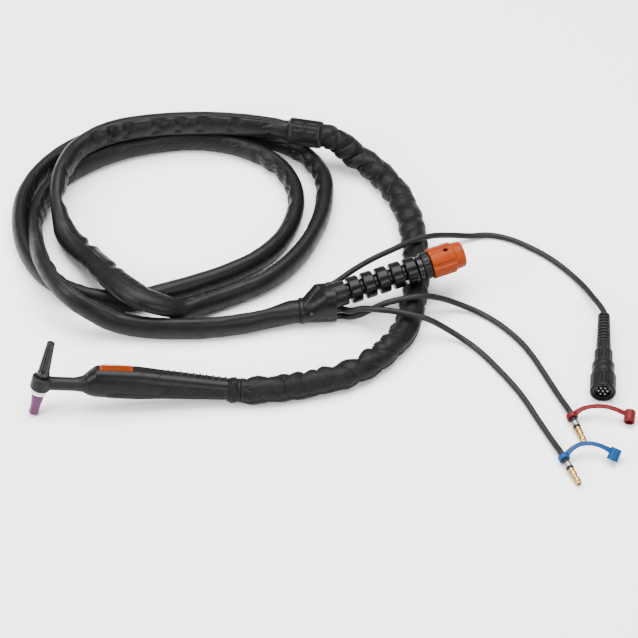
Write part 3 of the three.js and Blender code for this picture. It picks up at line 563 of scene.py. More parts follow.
def smooth_line(route, step):
    """A centripetal Catmull-Rom curve through a route, at even steps. Returns places and points."""
    route = np.array(route, float)
    out = []
    for i in range(len(route) - 1):
        p1, p2 = route[i], route[i + 1]
        p0 = route[i - 1] if i else 2 * p1 - p2
        p3 = route[i + 2] if i + 2 < len(route) else 2 * p2 - p1
        d0, d1, d2 = (max(np.linalg.norm(b - a) ** 0.5, 1e-4) for a, b in ((p0, p1), (p1, p2), (p2, p3)))
        t1 = ((p1 - p0) / d0 - (p2 - p0) / (d0 + d1) + (p2 - p1) / d1) * d1
        t2 = ((p2 - p1) / d1 - (p3 - p1) / (d1 + d2) + (p3 - p2) / d2) * d1
        t = np.linspace(0, 1, 24, endpoint=False)[:, None]
        out.append(p1 + t1 * t + (-3 * p1 + 3 * p2 - 2 * t1 - t2) * t**2 + (2 * p1 - 2 * p2 + t1 + t2) * t**3)
    fine = np.concatenate([*out, route[-1:]])
    places = np.concatenate([[0], np.cumsum(np.linalg.norm(np.diff(fine, axis=0), axis=1))])
    even = np.linspace(0, places[-1], max(8, int(places[-1] / step)))
    return even, np.stack([np.interp(even, places, fine[:, k]) for k in range(3)], 1)


def frames_of(line):
    """Tangents, level side directions and the directions square to both, along a line."""
    tangent = np.gradient(line, axis=0)
    tangent /= np.linalg.norm(tangent, axis=1)[:, None]
    side = np.cross(tangent, [0, 0, 1.0])
    side /= np.linalg.norm(side, axis=1)[:, None]
    return tangent, side, np.cross(side, tangent)


def bend_of(line, side, s, soften=12):
    """How sharply a line turns away from its side direction, per millimetre."""
    tangent = np.gradient(line, s, axis=0)
    turn = np.gradient(tangent, s, axis=0)
    bend = -(turn * side).sum(1)
    kernel = np.hanning(2 * soften + 1)
    return np.convolve(np.pad(bend, soften, mode="edge"), kernel / kernel.sum(), mode="valid")


def sleeve(name, line, u, v, lay_scale, floor=0.15):
    """A closed tube about a line. u and v are offsets along its side and its upward directions."""
    _, side, up = frames_of(line)
    rings = line[:, None] + side[:, None] * u[..., None] + up[:, None] * v[..., None]
    low = rings[..., 2]
    rings[..., 2] = np.where(low < floor + 1, floor + np.exp(np.minimum(low - floor - 1, 0)), low)
    made = tube_mesh(name, rings, WORLD, 75)
    rows, columns = u.shape
    lay = np.zeros((rows * columns + 2, 3), np.float32)
    steps = np.concatenate([[0], np.cumsum(np.linalg.norm(np.diff(line, axis=0), axis=1))])
    lay[:-2, 0] = np.repeat(steps * MM, columns)
    lay[:-2, 1] = np.tile(np.arange(columns) / columns * lay_scale * MM, rows)
    held = made.data.attributes.new("lay", "FLOAT_VECTOR", "POINT")
    held.data.foreach_set("vector", lay.ravel())
    return made


# ---------------------------------------------------------------- routes of the cords

LEATHER_ROUTE = [
    (150.9, 7.9, 15.1), (175.9, 11.7, 14.8), (201.9, 17.1, 14.8), (225.9, 23.7, 14.8),
    (250.9, 33.7, 14.8), (276.9, 50.7, 14.8), (300.9, 75.7, 14.8), (320.9, 108.7, 14.8),
    (331.2, 147.7, 14.8), (336.4, 185.7, 14.8), (338.1, 222.7, 14.8), (335.4, 264.7, 14.8),
    (329.4, 306.7, 14.8), (314.2, 350.5, 14.8), (289.7, 388.7, 15.5), (263.9, 407.7, 24),
    (244.9, 413.7, 38),
]

SHEATH_ROUTE = [
    (153.9, 434.7, 48), (127.9, 439.7, 46.5), (95.9, 443.7, 46.4), (63.9, 444.7, 46.4),
    (12.9, 441.7, 46.4), (-38.1, 430.7, 46.4), (-69.1, 414.7, 46.4), (-92.1, 391.7, 46.4),
    (-105.1, 359.7, 46.4), (-111.1, 326.7, 42), (-108.1, 295.7, 28), (-97.1, 263.7, 18),
    (-73.4, 228.7, 20), (-49, 186.3, 36), (-24.3, 149, 46.4), (3.9, 126.2, 46.4),
    (31.9, 124.7, 36), (53.9, 133.7, 22), (83.9, 150.7, 16), (119.9, 169.7, 15.3),
    (153.9, 190.7, 15.3), (178.9, 216.7, 15.3), (200.9, 251.7, 15.3), (217.9, 296.7, 15.3),
    (223.9, 337.7, 15.3), (220.9, 377.7, 15.3), (204.9, 409.7, 15.3), (179.9, 433.7, 15.3),
    (146.9, 450.7, 15.3), (107.9, 463.7, 15.3), (61.9, 471.7, 15.3), (9.9, 470.7, 15.3),
    (-41.1, 458.7, 15.3), (-86.1, 438.7, 15.3), (-118.1, 412.7, 15.3), (-143.1, 377.7, 15.3),
    (-157.1, 335.7, 15.3), (-158.1, 293.7, 15.3), (-149.1, 249.7, 15.3), (-128.1, 206.7, 15.3),
    (-98.1, 177.7, 15.3), (-65.1, 160.7, 15.3), (-32.1, 154.7, 15.3), (-1.1, 157.7, 15.3),
    (28.9, 167.7, 15.3), (70.9, 184.7, 15.3), (106.9, 202.7, 15.3), (140.9, 225.7, 15.3),
    (165.9, 254.7, 15.3), (182.9, 293.7, 15.3), (187.9, 333.7, 15.3), (180.9, 368.7, 15.3),
    (163.9, 396.7, 15.3), (137.9, 419.7, 15.3), (107.9, 435.7, 15.3), (62.9, 445.7, 15.3),
    (10.9, 441.7, 15.3), (-40.1, 426.7, 15.3), (-77.1, 404.7, 15.3), (-110.1, 375.7, 15.3),
    (-130.1, 340.7, 15.3), (-139.1, 299.7, 16), (-134.1, 247.7, 28), (-122.1, 195.7, 44),
    (-103.1, 156.7, 47), (-81.1, 131.7, 44), (-57.1, 119.7, 34), (-30.1, 113.7, 22),
    (6.9, 109.7, 15.5), (42.9, 107.7, 15.3), (78.9, 108.7, 15.3), (109.9, 112.7, 15.3),
    (142.9, 120.7, 15.5), (166.9, 128.5, 16.2),
]

CONTROL_ROUTE = [
    (240.9, 169.7, 36), (258.9, 186.7, 36.5), (280.9, 204.7, 36.5), (305.9, 221.7, 36),
    (330.9, 238.7, 34.6), (354.9, 252.7, 30), (379.9, 266.7, 18), (405.9, 276.7, 7),
    (431.9, 280.7, 4.2), (457.9, 272.7, 4.2), (481.9, 257.7, 4.2), (501.9, 241.7, 4.2),
    (518.9, 223.7, 4.2), (532.9, 204.7, 5), (543.9, 184.7, 8), (552.9, 162.7, 12),
    (559.9, 144.7, 15.2),
]

HOSE_ROUTES = {
    "red": [
        (254.9, 133.7, 9), (267.9, 130.2, 17), (282.9, 131.2, 26.5), (297.9, 133.7, 33),
        (320.9, 139.7, 34.8), (342.9, 144.7, 34), (364.9, 150.7, 24), (388.9, 152.7, 11),
        (412.9, 144.7, 4.6), (436.9, 124.7, 4.2), (459.9, 96.7, 4.2), (472.9, 73.7, 4.2),
        (484.9, 46.7, 4.2), (495.9, 19.7, 4.6), (504.9, -2.3, 5.8),
    ],
    "blue": [
        (254.9, 133.7, 20), (269.9, 129.2, 28), (287.9, 121.7, 34), (308.9, 116.7, 36),
        (329.9, 111.7, 35), (347.9, 109.7, 30), (364.9, 108.7, 19), (385.9, 100.7, 9),
        (407.9, 82.7, 4.6), (428.9, 54.7, 4.2), (449.9, 21.7, 4.2), (461.9, -1.3, 4.2),
        (471.9, -24.3, 4.2), (481.9, -47.3, 4.6), (491.9, -70.3, 5.8),
    ],
}

STRAP_ROUTES = {
    "red": [
        (517.9, -25.3, 10.5), (526.9, -21.3, 14), (538.9, -20.3, 17), (551.9, -21.3, 18),
        (563.9, -24.3, 17), (572.9, -27.3, 14.5), (577.9, -27.8, 12.5),
    ],
    "blue": [
        (503.9, -89.3, 10.5), (510.9, -83.3, 14), (520.9, -79.3, 17), (531.9, -79.3, 18),
        (541.9, -81.3, 17), (549.9, -84.3, 15), (553.9, -85.8, 13.5),
    ],
}

HANDLE_REAR = 218.7
COLLAR_LENGTH = 15.5
JOINT_HALF = 22.7
SPLITTER_LENGTH = 44.4
HOSE_EXITS = {"red": (-5, -10.3), "blue": (-5, 1.2)}
HOSE_STUB = 8.6
CONTROL_BOSS = 7

# ---------------------------------------------------------------- the leather sleeve

LEATHER_R = 14.5


def leather_sleeve():
    start = HANDLE_REAR + GAP + COLLAR_LENGTH + GAP
    leave = TORCH.out([(start, 0, 0), (start + 8, 0, 0)])
    arrive = JOINT.out([(JOINT_HALF + 8, 0, 0), (JOINT_HALF + GAP, 0, 0)])
    ends = leave, arrive
    s, line = smooth_line([*ends[0], *LEATHER_ROUTE, *ends[1]], 1.1)
    _, side, _ = frames_of(line)
    around = 132
    angle = np.arange(around) * TAU / around
    S, A = np.meshgrid(s, angle, indexing="ij")
    cells = A / TAU
    bend = np.clip(bend_of(line, side, s)[:, None] * 110, -1, 1)
    inner = np.clip(-np.cos(A), 0, 1) ** 0.8 * np.clip(bend, 0.8, 1)
    sway = 0.5 * noise(S / 55, cells * 2, 11, 2)
    fold = np.abs(2 * ((S / 23 + 0.35 * np.sin(A) + sway) % 1) - 1)
    drape = np.abs(2 * ((S / 37 + cells + 0.5 * noise(S / 40, cells * 4, 12, 4)) % 1) - 1)
    lift = (0.6 + 4.6 * inner) * ((fold + 1e-3) ** 0.5 - 0.66) - inner * np.exp(-((fold / 0.1) ** 2))
    lift += 2.4 * ((drape + 1e-3) ** 0.6 - 0.62) - 0.6 * np.exp(-((drape / 0.08) ** 2))
    lift += 0.45 * noise(S / 16, cells * 8, 13, 8) + 0.28 * noise(S / 7, cells * 16, 14, 16)
    lift += 0.14 * noise(S / 3.2, cells * 40, 15, 40)
    flap = between(turn_gap(A, rad(-38)), rad(-24), rad(24), rad(5))
    lift += 0.9 * flap - 0.5 * bell(turn_gap(A, rad(-11)), 0, rad(3.2))
    calm = between(S, 6, s[-1] - 6, 10)
    lift = lift * (0.25 + 0.75 * calm) - 0.6 * (1 - calm) + 1.1 * between(S, 380, 590, 40)
    crossed = between(line[:, 1], 90, 255, 20)[:, None] * (line[:, :1] > 250)
    top = between(turn_gap(A, rad(90)), rad(-62), rad(62), rad(30))
    lift = np.where(lift > -1.6, lift * (1 - crossed * top) - 1.6 * crossed * top, lift)
    radius = LEATHER_R + 0.9 + lift
    made = sleeve("leather_cover", line, radius * np.cos(A), radius * np.sin(A), TAU * LEATHER_R)
    piece(made, "sleeve_leather", ["leather_sleeve"])
    return made, line


# ---------------------------------------------------------------- the long sheath

SHEATH_HALF_WIDTH = 10.5
SHEATH_HALF_HEIGHT = 15.0
# Dents across the side that faces the middle of the loops: place, width and depth
DENTS = [(72, 6.5, 2.6), (115, 7.5, 3.2), (143, 7, 3.4), (172, 8, 3.6), (213, 5.5, 2.8), (236, 5, 3.2),
         (262, 5, 2.0)]
# Kinks where the inner edge folds in: place, width and depth
KINKS = [
    (330, 6, 2.5), (372, 10, 5.0), (456, 7, 4.2), (531, 7, 4.5), (668, 8, 4.5), (684, 6, 3.6),
    (955, 8, 2.2), (980, 7, 2.8), (1004, 7, 2.6), (1032, 9, 2.4), (2008, 8, 2.4), (2034, 7, 2.6),
    (2060, 7, 3.0),
    (2090, 8, 2.6), (2118, 7, 2.4), (2436, 6, 2.2), (2455, 6, 2.4), (2474, 6, 2.4), (2494, 6, 2.2),
    (2600, 8, 2.0), (2626, 8, 2.4), (2652, 8, 2.2), (2682, 9, 2.4),
]


def crowding(line, s):
    """How close other passes of the same line lie, 0 where none is near and 1 where one touches."""
    coarse = line[::8]
    apart = np.linalg.norm(coarse[:, None] - coarse[None], axis=2)
    apart[np.abs(s[::8][:, None] - s[::8][None]) < 150] = 1e3
    return np.clip((44 - np.interp(s, s[::8], apart.min(1))) / 12, 0, 1)


def hose_sheath():
    leave = JOINT.out([(-JOINT_HALF - GAP, 0, 0), (-JOINT_HALF - 8, 0, 0)])
    arrive = SPLITTER.out([(-8, 0, 0), (-GAP, 0, 0)])
    ends = leave, arrive
    s, line = smooth_line([*ends[0], *SHEATH_ROUTE, *ends[1]], 1.6)
    _, side, _ = frames_of(line)
    around = 104
    S, A = np.meshgrid(s, np.arange(around) * TAU / around, indexing="ij")
    cells = A / TAU
    bend = np.clip(bend_of(line, side, s)[:, None] * 110, 0, 1)
    flat = between(S, 402, 662, 30)
    half_width = SHEATH_HALF_WIDTH + 3.6 * flat
    half_height = SHEATH_HALF_HEIGHT - 3.4 * flat
    half_width = half_width + 0.9 * noise(S / 70, 0 * S, 21, 4)
    half_height = half_height + 0.7 * noise(S / 80, 0 * S, 22, 4)
    swell = between(S, 40, 335, 40)
    half_width, half_height = half_width + 1.2 * swell, half_height + 1.6 * swell
    inner = np.clip(-np.cos(A), 0, 1)
    half_width = half_width + 5.5 * between(S, 425, 640, 70) * (np.cos(A) < 0)
    lift = 0.55 * noise(S / 38, cells * 5, 23, 5) + 0.3 * noise(S / 14, cells * 8, 24, 8)
    ridge = 1 - np.abs(noise(S / 9 + 1.5 * np.sin(A), cells * 6, 25, 6)) * 2.2
    lift -= 1.5 * inner**1.5 * np.clip(bend, 0.12, 1) * np.clip(ridge, 0, 1) ** 2
    for at, width, depth in DENTS:
        reach = between(turn_gap(A, rad(163)), rad(-42), rad(44), rad(26))
        lean = at + 3.0 * np.sin(A * 2)
        lift -= 1.25 * depth * reach * bell(S, lean, width)
        lift += 0.45 * depth * reach * bell(S, lean + 1.75 * width, 0.8 * width)
    for at, width, depth in KINKS:
        lean = at + 2.5 * np.sin(A)
        lift -= depth * inner**1.2 * bell(S, lean, width)
        beside = bell(S, lean - 1.6 * width, 0.7 * width) + bell(S, lean + 1.6 * width, 0.7 * width)
        lift += 0.3 * depth * inner * beside
    lift += 0.5 * bell(turn_gap(A, rad(104)), 0, rad(4.5))
    lift -= 0.35 * (bell(turn_gap(A, rad(112)), 0, rad(3)) + bell(turn_gap(A, rad(96)), 0, rad(3)))
    crowd = crowding(line, s)[:, None]
    lift = np.where(lift > 0, lift * (1 - 0.8 * crowd), lift)
    calm = between(S, 5, s[-1] - 4, 8)
    lift = lift * calm
    taper = 1 - 0.06 * (1 - between(S, 8, s[-1] - 8, 16))
    u = (half_width * taper + lift) * np.cos(A)
    v = (half_height * taper + lift) * np.sin(A)
    end = between(S, 0, s[-1] - 26, 36)
    u = u * end + (1 - end) * 14.0 * np.cos(A)
    v = v * end + (1 - end) * 14.6 * np.sin(A)
    made = sleeve("hose_sheath_cover", line, u, v, 82)
    piece(made, "sheath_fabric", ["hose_sheath"])
    return made, line


def round_cord(name, route, radius, node, texture):
    s, line = smooth_line(route, 1.6)
    S, A = np.meshgrid(s, np.arange(28) * TAU / 28, indexing="ij")
    wide = radius + 0.06 * noise(S / 40, A / TAU * 3, texture, 3)
    wide = wide + 0.03 * noise(S / 9, A / TAU * 5, texture + 1, 5)
    made = sleeve(name, line, wide * np.cos(A), wide * np.sin(A), TAU * radius, 0.05)
    piece(made, "black_rubber", [node])
    return made, line


leather, leather_line = leather_sleeve()
sheath, sheath_line = hose_sheath()
control_cable, control_line = round_cord(
    "control_cable_jacket",
    [*CONTROL_EXIT.out([(CONTROL_BOSS + GAP, 0, 0), (CONTROL_BOSS + 5, 0, 0)]), *CONTROL_ROUTE,
     *CONTROL.out([(-4, 0, 0), (-GAP, 0, 0)])], 3.75, "control_cable", 31)
for hose, route in HOSE_ROUTES.items():
    y, z = HOSE_EXITS[hose]
    begin = SPLITTER_LENGTH + GAP
    round_cord(
        hose + "_water_hose",
        [*SPLITTER.out([(begin, y, z), (begin + 7, y, z)]), *route,
         *ENDS[hose].out([(-8, 0, 0), (0, 0, 0), (HOSE_STUB, 0, 0)])], 3.8, hose + "_hose", 33)

# ---------------------------------------------------------------- torch head

HEAD_BOTTOM, HEAD_TOP = -9.0, 8.6


def loft(name, xs, top, bottom, half, square, place, around=96, shape=None, sharp=40):
    """Superellipse sections along x, spaced evenly around, with their outward directions to shape them."""
    turn = np.linspace(0, TAU, 721)
    c, s = np.cos(turn)[None], np.sin(turn)[None]
    power = 2 / square[:, None]
    y = half[:, None] * np.sign(c) * np.abs(c) ** power
    z = ((top - bottom) / 2)[:, None] * np.sign(s) * np.abs(s) ** power + ((top + bottom) / 2)[:, None]
    walk = np.concatenate([np.zeros((len(xs), 1)), np.cumsum(np.hypot(np.diff(y), np.diff(z)), 1)], 1)
    ring_y, ring_z = np.empty((len(xs), around)), np.empty((len(xs), around))
    for i in range(len(xs)):
        even = np.linspace(0, walk[i, -1], around, endpoint=False)
        ring_y[i], ring_z[i] = np.interp(even, walk[i], y[i]), np.interp(even, walk[i], z[i])
    if shape is not None:
        dy = np.roll(ring_y, -1, 1) - np.roll(ring_y, 1, 1)
        dz = np.roll(ring_z, -1, 1) - np.roll(ring_z, 1, 1)
        size = np.hypot(dy, dz)
        arc = np.linspace(0, 1, around, endpoint=False)[None] * walk[:, -1:]
        lift = shape(np.repeat(xs[:, None], around, 1), ring_y, ring_z, arc, walk[:, -1:])
        ring_y, ring_z = ring_y + lift * dz / size, ring_z - lift * dy / size
    rings = np.stack([np.repeat(xs[:, None], around, 1), ring_y, ring_z], -1)
    return tube_mesh(name, rings, place, sharp)


def along_sections(sections, step, soften=0):
    table = np.array(sections, float)
    xs = np.linspace(table[0, 0], table[-1, 0], int((table[-1, 0] - table[0, 0]) / step) + 1)
    columns = [np.interp(xs, table[:, 0], table[:, k]) for k in range(1, 5)]
    if soften:
        count = max(1, int(soften / step))
        kernel = np.hanning(2 * count + 3)
        kernel /= kernel.sum()
        padded = [np.pad(c, count + 1, mode="reflect", reflect_type="odd") for c in columns]
        columns = [np.convolve(c, kernel, mode="valid") for c in padded]
    return xs, *columns


def head_body():
    pot = lathe("pot", [(HEAD_BOTTOM, 0), (HEAD_BOTTOM, 9.9), (HEAD_BOTTOM + 2.2, 12), (HEAD_TOP - 3.4, 12),
                        (HEAD_TOP - 2.6, 11.5), (HEAD_TOP - 1.9, 12), (HEAD_TOP - 0.9, 12), (HEAD_TOP, 11),
                        (HEAD_TOP, 0)], HEAD, "z", 72, 0.5)
    neck = loft("neck", *along_sections([
        (4, 8, -8.4, 8.2, 2), (12, 8, -8.4, 8.2, 2), (38, 8, -8.4, 8.2, 2), (44, 9.3, -8.8, 9, 2),
        (49.54, 11.7, -9.4, 9.6, 2)], 0.8, 2.5), TORCH, 64)
    made = fused("head_body", [pot, neck], 0.5, 7)
    return cut(made, [pin(6.95, HEAD_BOTTOM - 2, HEAD_TOP + 2, HEAD, "z", around=48)])


piece(head_body(), "black_rubber", ["head_cover"], name="head_body")


def cap_shape(along, across, turn):
    flute = between(along, 19, 52, 5) * np.clip(np.cos(8 * turn), 0, 1) ** 1.5
    grip = between(along, 11, 15, 0.8) * np.clip(np.cos(16 * turn), 0, 1) ** 2
    return np.where(across > 2.5, across - 0.62 * flute - 0.28 * grip, across)


CAP_PROFILE = [(9.9, 0), (9.9, 6.6), (11.1, 7.5), (15.4, 7.6), (16.7, 7), (54.5, 4.8), (55.5, 4.1), (55.5, 0)]
back_cap = cut(lathe("back_cap_cover", CAP_PROFILE, HEAD, "z", 96, 0.7, 0.7, cap_shape),
               [pin(4.6, 8, 15.5, HEAD, "z"), pin(1.8, 8, 51.5, HEAD, "z")])
piece(back_cap, "black_gloss", ["back_cap"], "cap")
RING_TOP, RING_END = HEAD_BOTTOM - GAP, -14.3
piece(lathe("insulator", [(RING_TOP, 4.3), (RING_TOP, 8.9), (-11.4, 8.9), (-11.7, 8.6), (-12, 8.9),
                          (RING_END, 8.9),
                          (RING_END, 4.3)], HEAD, "z", 72, 0.6), "white_ptfe", ["insulator_ring"])
NOZZLE = [(-14.6, 4.2), (-14.6, 7.2), (-20.4, 7.15), (-27.6, 6.15), (-33.6, 5.7), (-38.6, 5.85), (-40.6, 6.1),
          (-41.6, 5.7), (-41.6, 4.8), (-23.6, 4.8), (-23.6, 4.2)]
piece(lathe("nozzle_cup", NOZZLE, HEAD, "z", 72, 1.2, 0.8,
            lambda along, across, turn: across + 0.03 * np.sin(5 * turn + along)), "ceramic", ["gas_nozzle"],
      "nozzle")

# ---------------------------------------------------------------- handle

HANDLE_SECTIONS = [
    (49.6, 11.8, -9.6, 9.8, 2.2), (55, 17, -12, 12.4, 2.4), (63.5, 23.6, -13.4, 14.6, 2.6),
    (90, 24.3, -14, 15.6, 2.6), (114, 24, -14, 15.6, 2.6), (142, 21.2, -12.6, 14.8, 2.4),
    (182, 17.5, -11.8, 13.4, 2.4), (HANDLE_REAR, 14.2, -11.3, 12.3, 2.2),
]
RIB_PITCH_X = 4.4
RIB_LEAN = 0.8
BUMPS = (148, 7.6, 10)


def handle_shape(x, y, z, arc, whole):
    bottom = np.abs(arc - 0.75 * whole)
    top = np.abs(arc - 0.25 * whole)
    edge = np.interp(x[:, 0], [77, 138, 150, 219], [-2.6, -2.6, 6.6, 5.4])[:, None]
    band = np.clip((edge - z) / 0.8 + 0.5, 0, 1) * between(x, 78, 216, 3)
    phase = (x - RIB_LEAN * bottom) / RIB_PITCH_X
    rib = np.clip(0.5 + 0.9 * np.cos(TAU * phase), 0, 1)
    lift = band * (1.3 * rib - 0.95)
    start, pitch, count = BUMPS
    near = (x - start + pitch / 2) % pitch - pitch / 2
    row = between(x, start - pitch / 2, start + pitch * (count - 0.5), 0.4)
    lift = lift + 1.7 * row * between(near, -1.1, 1.1, 0.7) * np.clip((5.0 - top) / 1.0, 0, 1)
    seam = np.minimum(np.abs(arc - 0.75 * whole), np.abs(arc - 0.25 * whole))
    lift = lift - 0.3 * bell(seam, 0, 0.45) * (1 - row)
    lift = lift - 0.5 * bell(x, 52.4, 0.5)
    return lift


SWITCH_OUTLINE = [(53, 30), (53, 16.5), (64, 14.5), (128, 14.5), (143, 22), (143, 30)]


def inset_outline(gap):
    return [
        (x + (gap if i < 3 else -gap), z + gap if z < 25 else z) for i, (x, z) in enumerate(SWITCH_OUTLINE)
    ]


def copy_of(made, name):
    twin = made.copy()
    twin.data = made.data.copy()
    twin.name = name
    bpy.context.scene.collection.objects.link(twin)
    return twin


def handle():
    full = loft("handle_full", *along_sections(HANDLE_SECTIONS, 0.55, 2.2), TORCH, 184, handle_shape)
    module = copy_of(full, "switch_cover")
    shells = cut(full, [slab(SWITCH_OUTLINE, 22, TORCH), pin(2.7, 19.7, 30, TORCH, "z", (133, 0, 0))])
    left, right = split(shells, TORCH, 1)
    piece(left, "black_moulding", ["handle_shell_left"], name="handle_left")
    piece(right, "black_moulding", ["handle_shell_right"], name="handle_right")
    cut(module, [slab(inset_outline(GAP), 20, TORCH)], "INTERSECT")
    slot = block((66.8, -6.5, 16.4), (107.3, 6.5, 40), TORCH)
    cut(module, [slot, pin(2.75, 19.7, 40, TORCH, "z", (133, 0, 0), 32)])
    piece(module, "black_moulding", ["switch_module"], name="switch_cover")


handle()

TRIGGER_FRONT, TRIGGER_REAR, TRIGGER_TOP, TRIGGER_BOTTOM = 67.3, 106.8, 26.2, 18.8


def trigger():
    xs = np.linspace(TRIGGER_FRONT, TRIGGER_REAR, 260)
    teeth = 14
    phase = (xs - TRIGGER_FRONT - 2) / ((TRIGGER_REAR - TRIGGER_FRONT - 4) / teeth)
    tooth = np.clip(0.5 - 0.85 * np.cos(TAU * phase), 0, 1) * between(phase, 0, teeth, 0.2)
    top = TRIGGER_TOP - 2.0 + 2.0 * tooth
    end = np.minimum(xs - TRIGGER_FRONT, TRIGGER_REAR - xs)
    round_off = 1.6 * (1 - np.sqrt(np.clip(1 - (1 - np.clip(end / 1.6, 0, 1)) ** 2, 0, 1)))
    half = 6.0 - 0.6 * (1 - np.clip(end / 1.2, 0, 1)) ** 2
    square = np.full_like(xs, 7.0)
    return loft("trigger_key", xs, top - round_off, np.full_like(xs, TRIGGER_BOTTOM), half, square, TORCH, 88)


piece(trigger(), "orange_plastic", ["trigger"], "trigger")


def module_screw():
    """A screw head with a hexagon socket."""
    there = Place((133, 0, 0), 0, 0, 0, TORCH)
    top = 21.8
    head = drum("module_screw_head", 18.7, top, 2.3, there, "z", 40, 0.35)
    return cut(head, [drum("tool", top - 0.9, top + 1, 1.15, there, "z", 6)])


piece(module_screw(), "steel", ["module_screw"], look="dark_steel")


def collar_shape(along, across, turn):
    near = across > 12
    wave = 0.35 * np.sin(3 * turn + 0.4 * along) + 0.2 * np.sin(7 * turn - 0.6 * along)
    buckle = 0.9 * bell(turn_gap(turn, rad(118)), 0, rad(13)) * between(along, front + 3, front + 10.6, 1.2)
    return np.where(near, across + 0.6 * wave * between(along, front + 3, front + 10.6, 1.5) + buckle, across)


front, rear = HANDLE_REAR + GAP, HANDLE_REAR + GAP + COLLAR_LENGTH
COLLAR = [(front, 9.5), (front, 13.2), (front + 1, 14.3), (front + 2.2, 14.4), (front + 2.8, 13.9),
          (front + 3.4, 15),
          (front + 4.4, 15.5), (front + 9.4, 15.6), (front + 10.6, 15), (front + 11.3, 13.9),
          (front + 12.2, 14.2),
          (rear - 1, 14.3), (rear, 13.7), (rear, 9.5)]
piece(lathe("leather_collar", COLLAR, TORCH, "x", 120, 0.9, 0.45, collar_shape), "sleeve_leather",
      ["sleeve_collar"])

# ---------------------------------------------------------------- housing between the sleeves


def joint_shape(along, across, turn):
    facet = (turn + math.pi / 8) % (math.pi / 4) - math.pi / 8
    eight = math.cos(math.pi / 8) / np.cos(facet)
    outside = across > 15
    made = np.where(outside, across * (0.35 + 0.65 * eight), across)
    panel = between(along, -15.5, 15.5, 0.7) * between(turn_gap(turn, rad(208)), rad(-21), rad(21), rad(2.5))
    clip = between(along, -1.1, 1.1, 0.5) * between(turn_gap(turn, rad(112)), rad(-15), rad(15), rad(2))
    pads = between(along, -14, -2.4, 0.6) + between(along, 2.4, 14, 0.6)
    pads = pads * between(turn_gap(turn, rad(112)), rad(-19), rad(19), rad(2.5))
    groove = bell(along, -17.6, 0.5) + bell(along, 17.6, 0.5)
    return np.where(outside, made - 0.4 * panel + 0.55 * clip - 0.3 * pads - 0.4 * groove, made)


def joint_housing():
    end, inner = JOINT_HALF, JOINT_HALF - 3
    made = lathe("joint_housing", [(-end, 10), (-end, 15.4), (-end + 3.2, 18.5), (end - 3.2, 18.5),
                                   (end, 15.4), (end, 10),
                                   (inner, 10), (inner, 14.6), (-inner, 14.6), (-inner, 10)],
                 JOINT, "x", 192, 0.6, 0.55, joint_shape)
    made = cut(made, [pin(2.7, -30, 30, JOINT, "z", (x, 13.2, 0)) for x in (-11, 11)])
    top, bottom = split(made, JOINT, 2)
    piece(top, "black_moulding", ["joint_shell_top"], name="joint_housing_top")
    piece(bottom, "black_moulding", ["joint_shell_bottom"], name="joint_housing_bottom")


joint_housing()

# ---------------------------------------------------------------- splitter

CUFF_END = 7.6
SPLITTER_SECTIONS = [
    (0.6, 15.0, -14.9, 15.0, 2), (7, 15.2, -15.0, 15.2, 2), (14, 18.6, -15.4, 15.6, 2.1),
    (24, 26.4, -16.0, 16.6, 2.4),
    (32, 31.6, -16.2, 17.2, 2.6), (SPLITTER_LENGTH, 33.0, -16.2, 17.3, 2.8),
]


def hulled(name, parts):
    """The tight skin around some parts."""
    work = bmesh.new()
    for part in parts:
        for corner in part.data.vertices:
            work.verts.new(corner.co)
        bpy.data.objects.remove(part)
    found = bmesh.ops.convex_hull(work, input=work.verts)
    loose = [g for g in found["geom_interior"] if isinstance(g, bmesh.types.BMVert)]
    bmesh.ops.delete(work, geom=loose, context="VERTS")
    return shown_from(work, name)


def splitter():
    flange = lathe("flange", [(0, 0), (0, 15.4), (0.8, 16.3), (4.8, 16.3), (5.8, 15.4), (5.8, 0)], SPLITTER,
                   "x", 96, 0.4)
    hull = loft("hull", *along_sections(SPLITTER_SECTIONS, 0.8, 4), SPLITTER, 96,
                lambda x, y, z, arc, whole: -1.1 * bell(z + 2.6, 0, 1.3)
                * between(x, 13, 46, 6) * (np.abs(y) > 6))
    cuff = drum("cuff", -10.5, CUFF_END, 15.2, POWER, around=96, corner=0.9)
    boss = lathe("boss", [(-9, 0), (-9, 5.6), (5, 5.2), (7, 4.9), (7, 0)], CONTROL_EXIT, "x", 48, 0.7)
    glands = [drum("gland", 36, SPLITTER_LENGTH, 4.9, Place((0, y, z), 0, 0, 0, SPLITTER), around=40,
                   corner=0.4)
              for y, z in HOSE_EXITS.values()]
    discs = [("shoulder", 5, 6, 15, SPLITTER), ("hump_back", -11, -10, 9.6, CONTROL_EXIT),
             ("hump_end", -1, 0, 6.2, CONTROL_EXIT)]
    hump = hulled("hump", [drum(*disc, around=48, corner=0.1) for disc in discs])
    made = fused("splitter_body", [flange, hull, cuff, boss, hump, *glands], 0.5, 5, 50)
    tools = [pin(2.8, -40, -11.5, SPLITTER, "y", (x, 0, z)) for x, z in ((14, 8), (36, -4))]
    return cut(made, [drum("tool", 2, 12, 11.6, POWER, around=64), *tools])


left, right = split(splitter(), SPLITTER, 1)
piece(left, "black_moulding", ["splitter_left"], name="splitter_half_left")
piece(right, "black_moulding", ["splitter_right"], name="splitter_half_right")

# ---------------------------------------------------------------- power connector

RIB_R, RIB_CORE, RIB_FIRST, RIB_PITCH, RIB_LENGTH, RIB_COUNT = 16.5, 10, 18.6, 18.2, 14.6, 5
RELIEF_END = RIB_FIRST + (RIB_COUNT - 1) * RIB_PITCH + RIB_LENGTH / 2 + 1.2


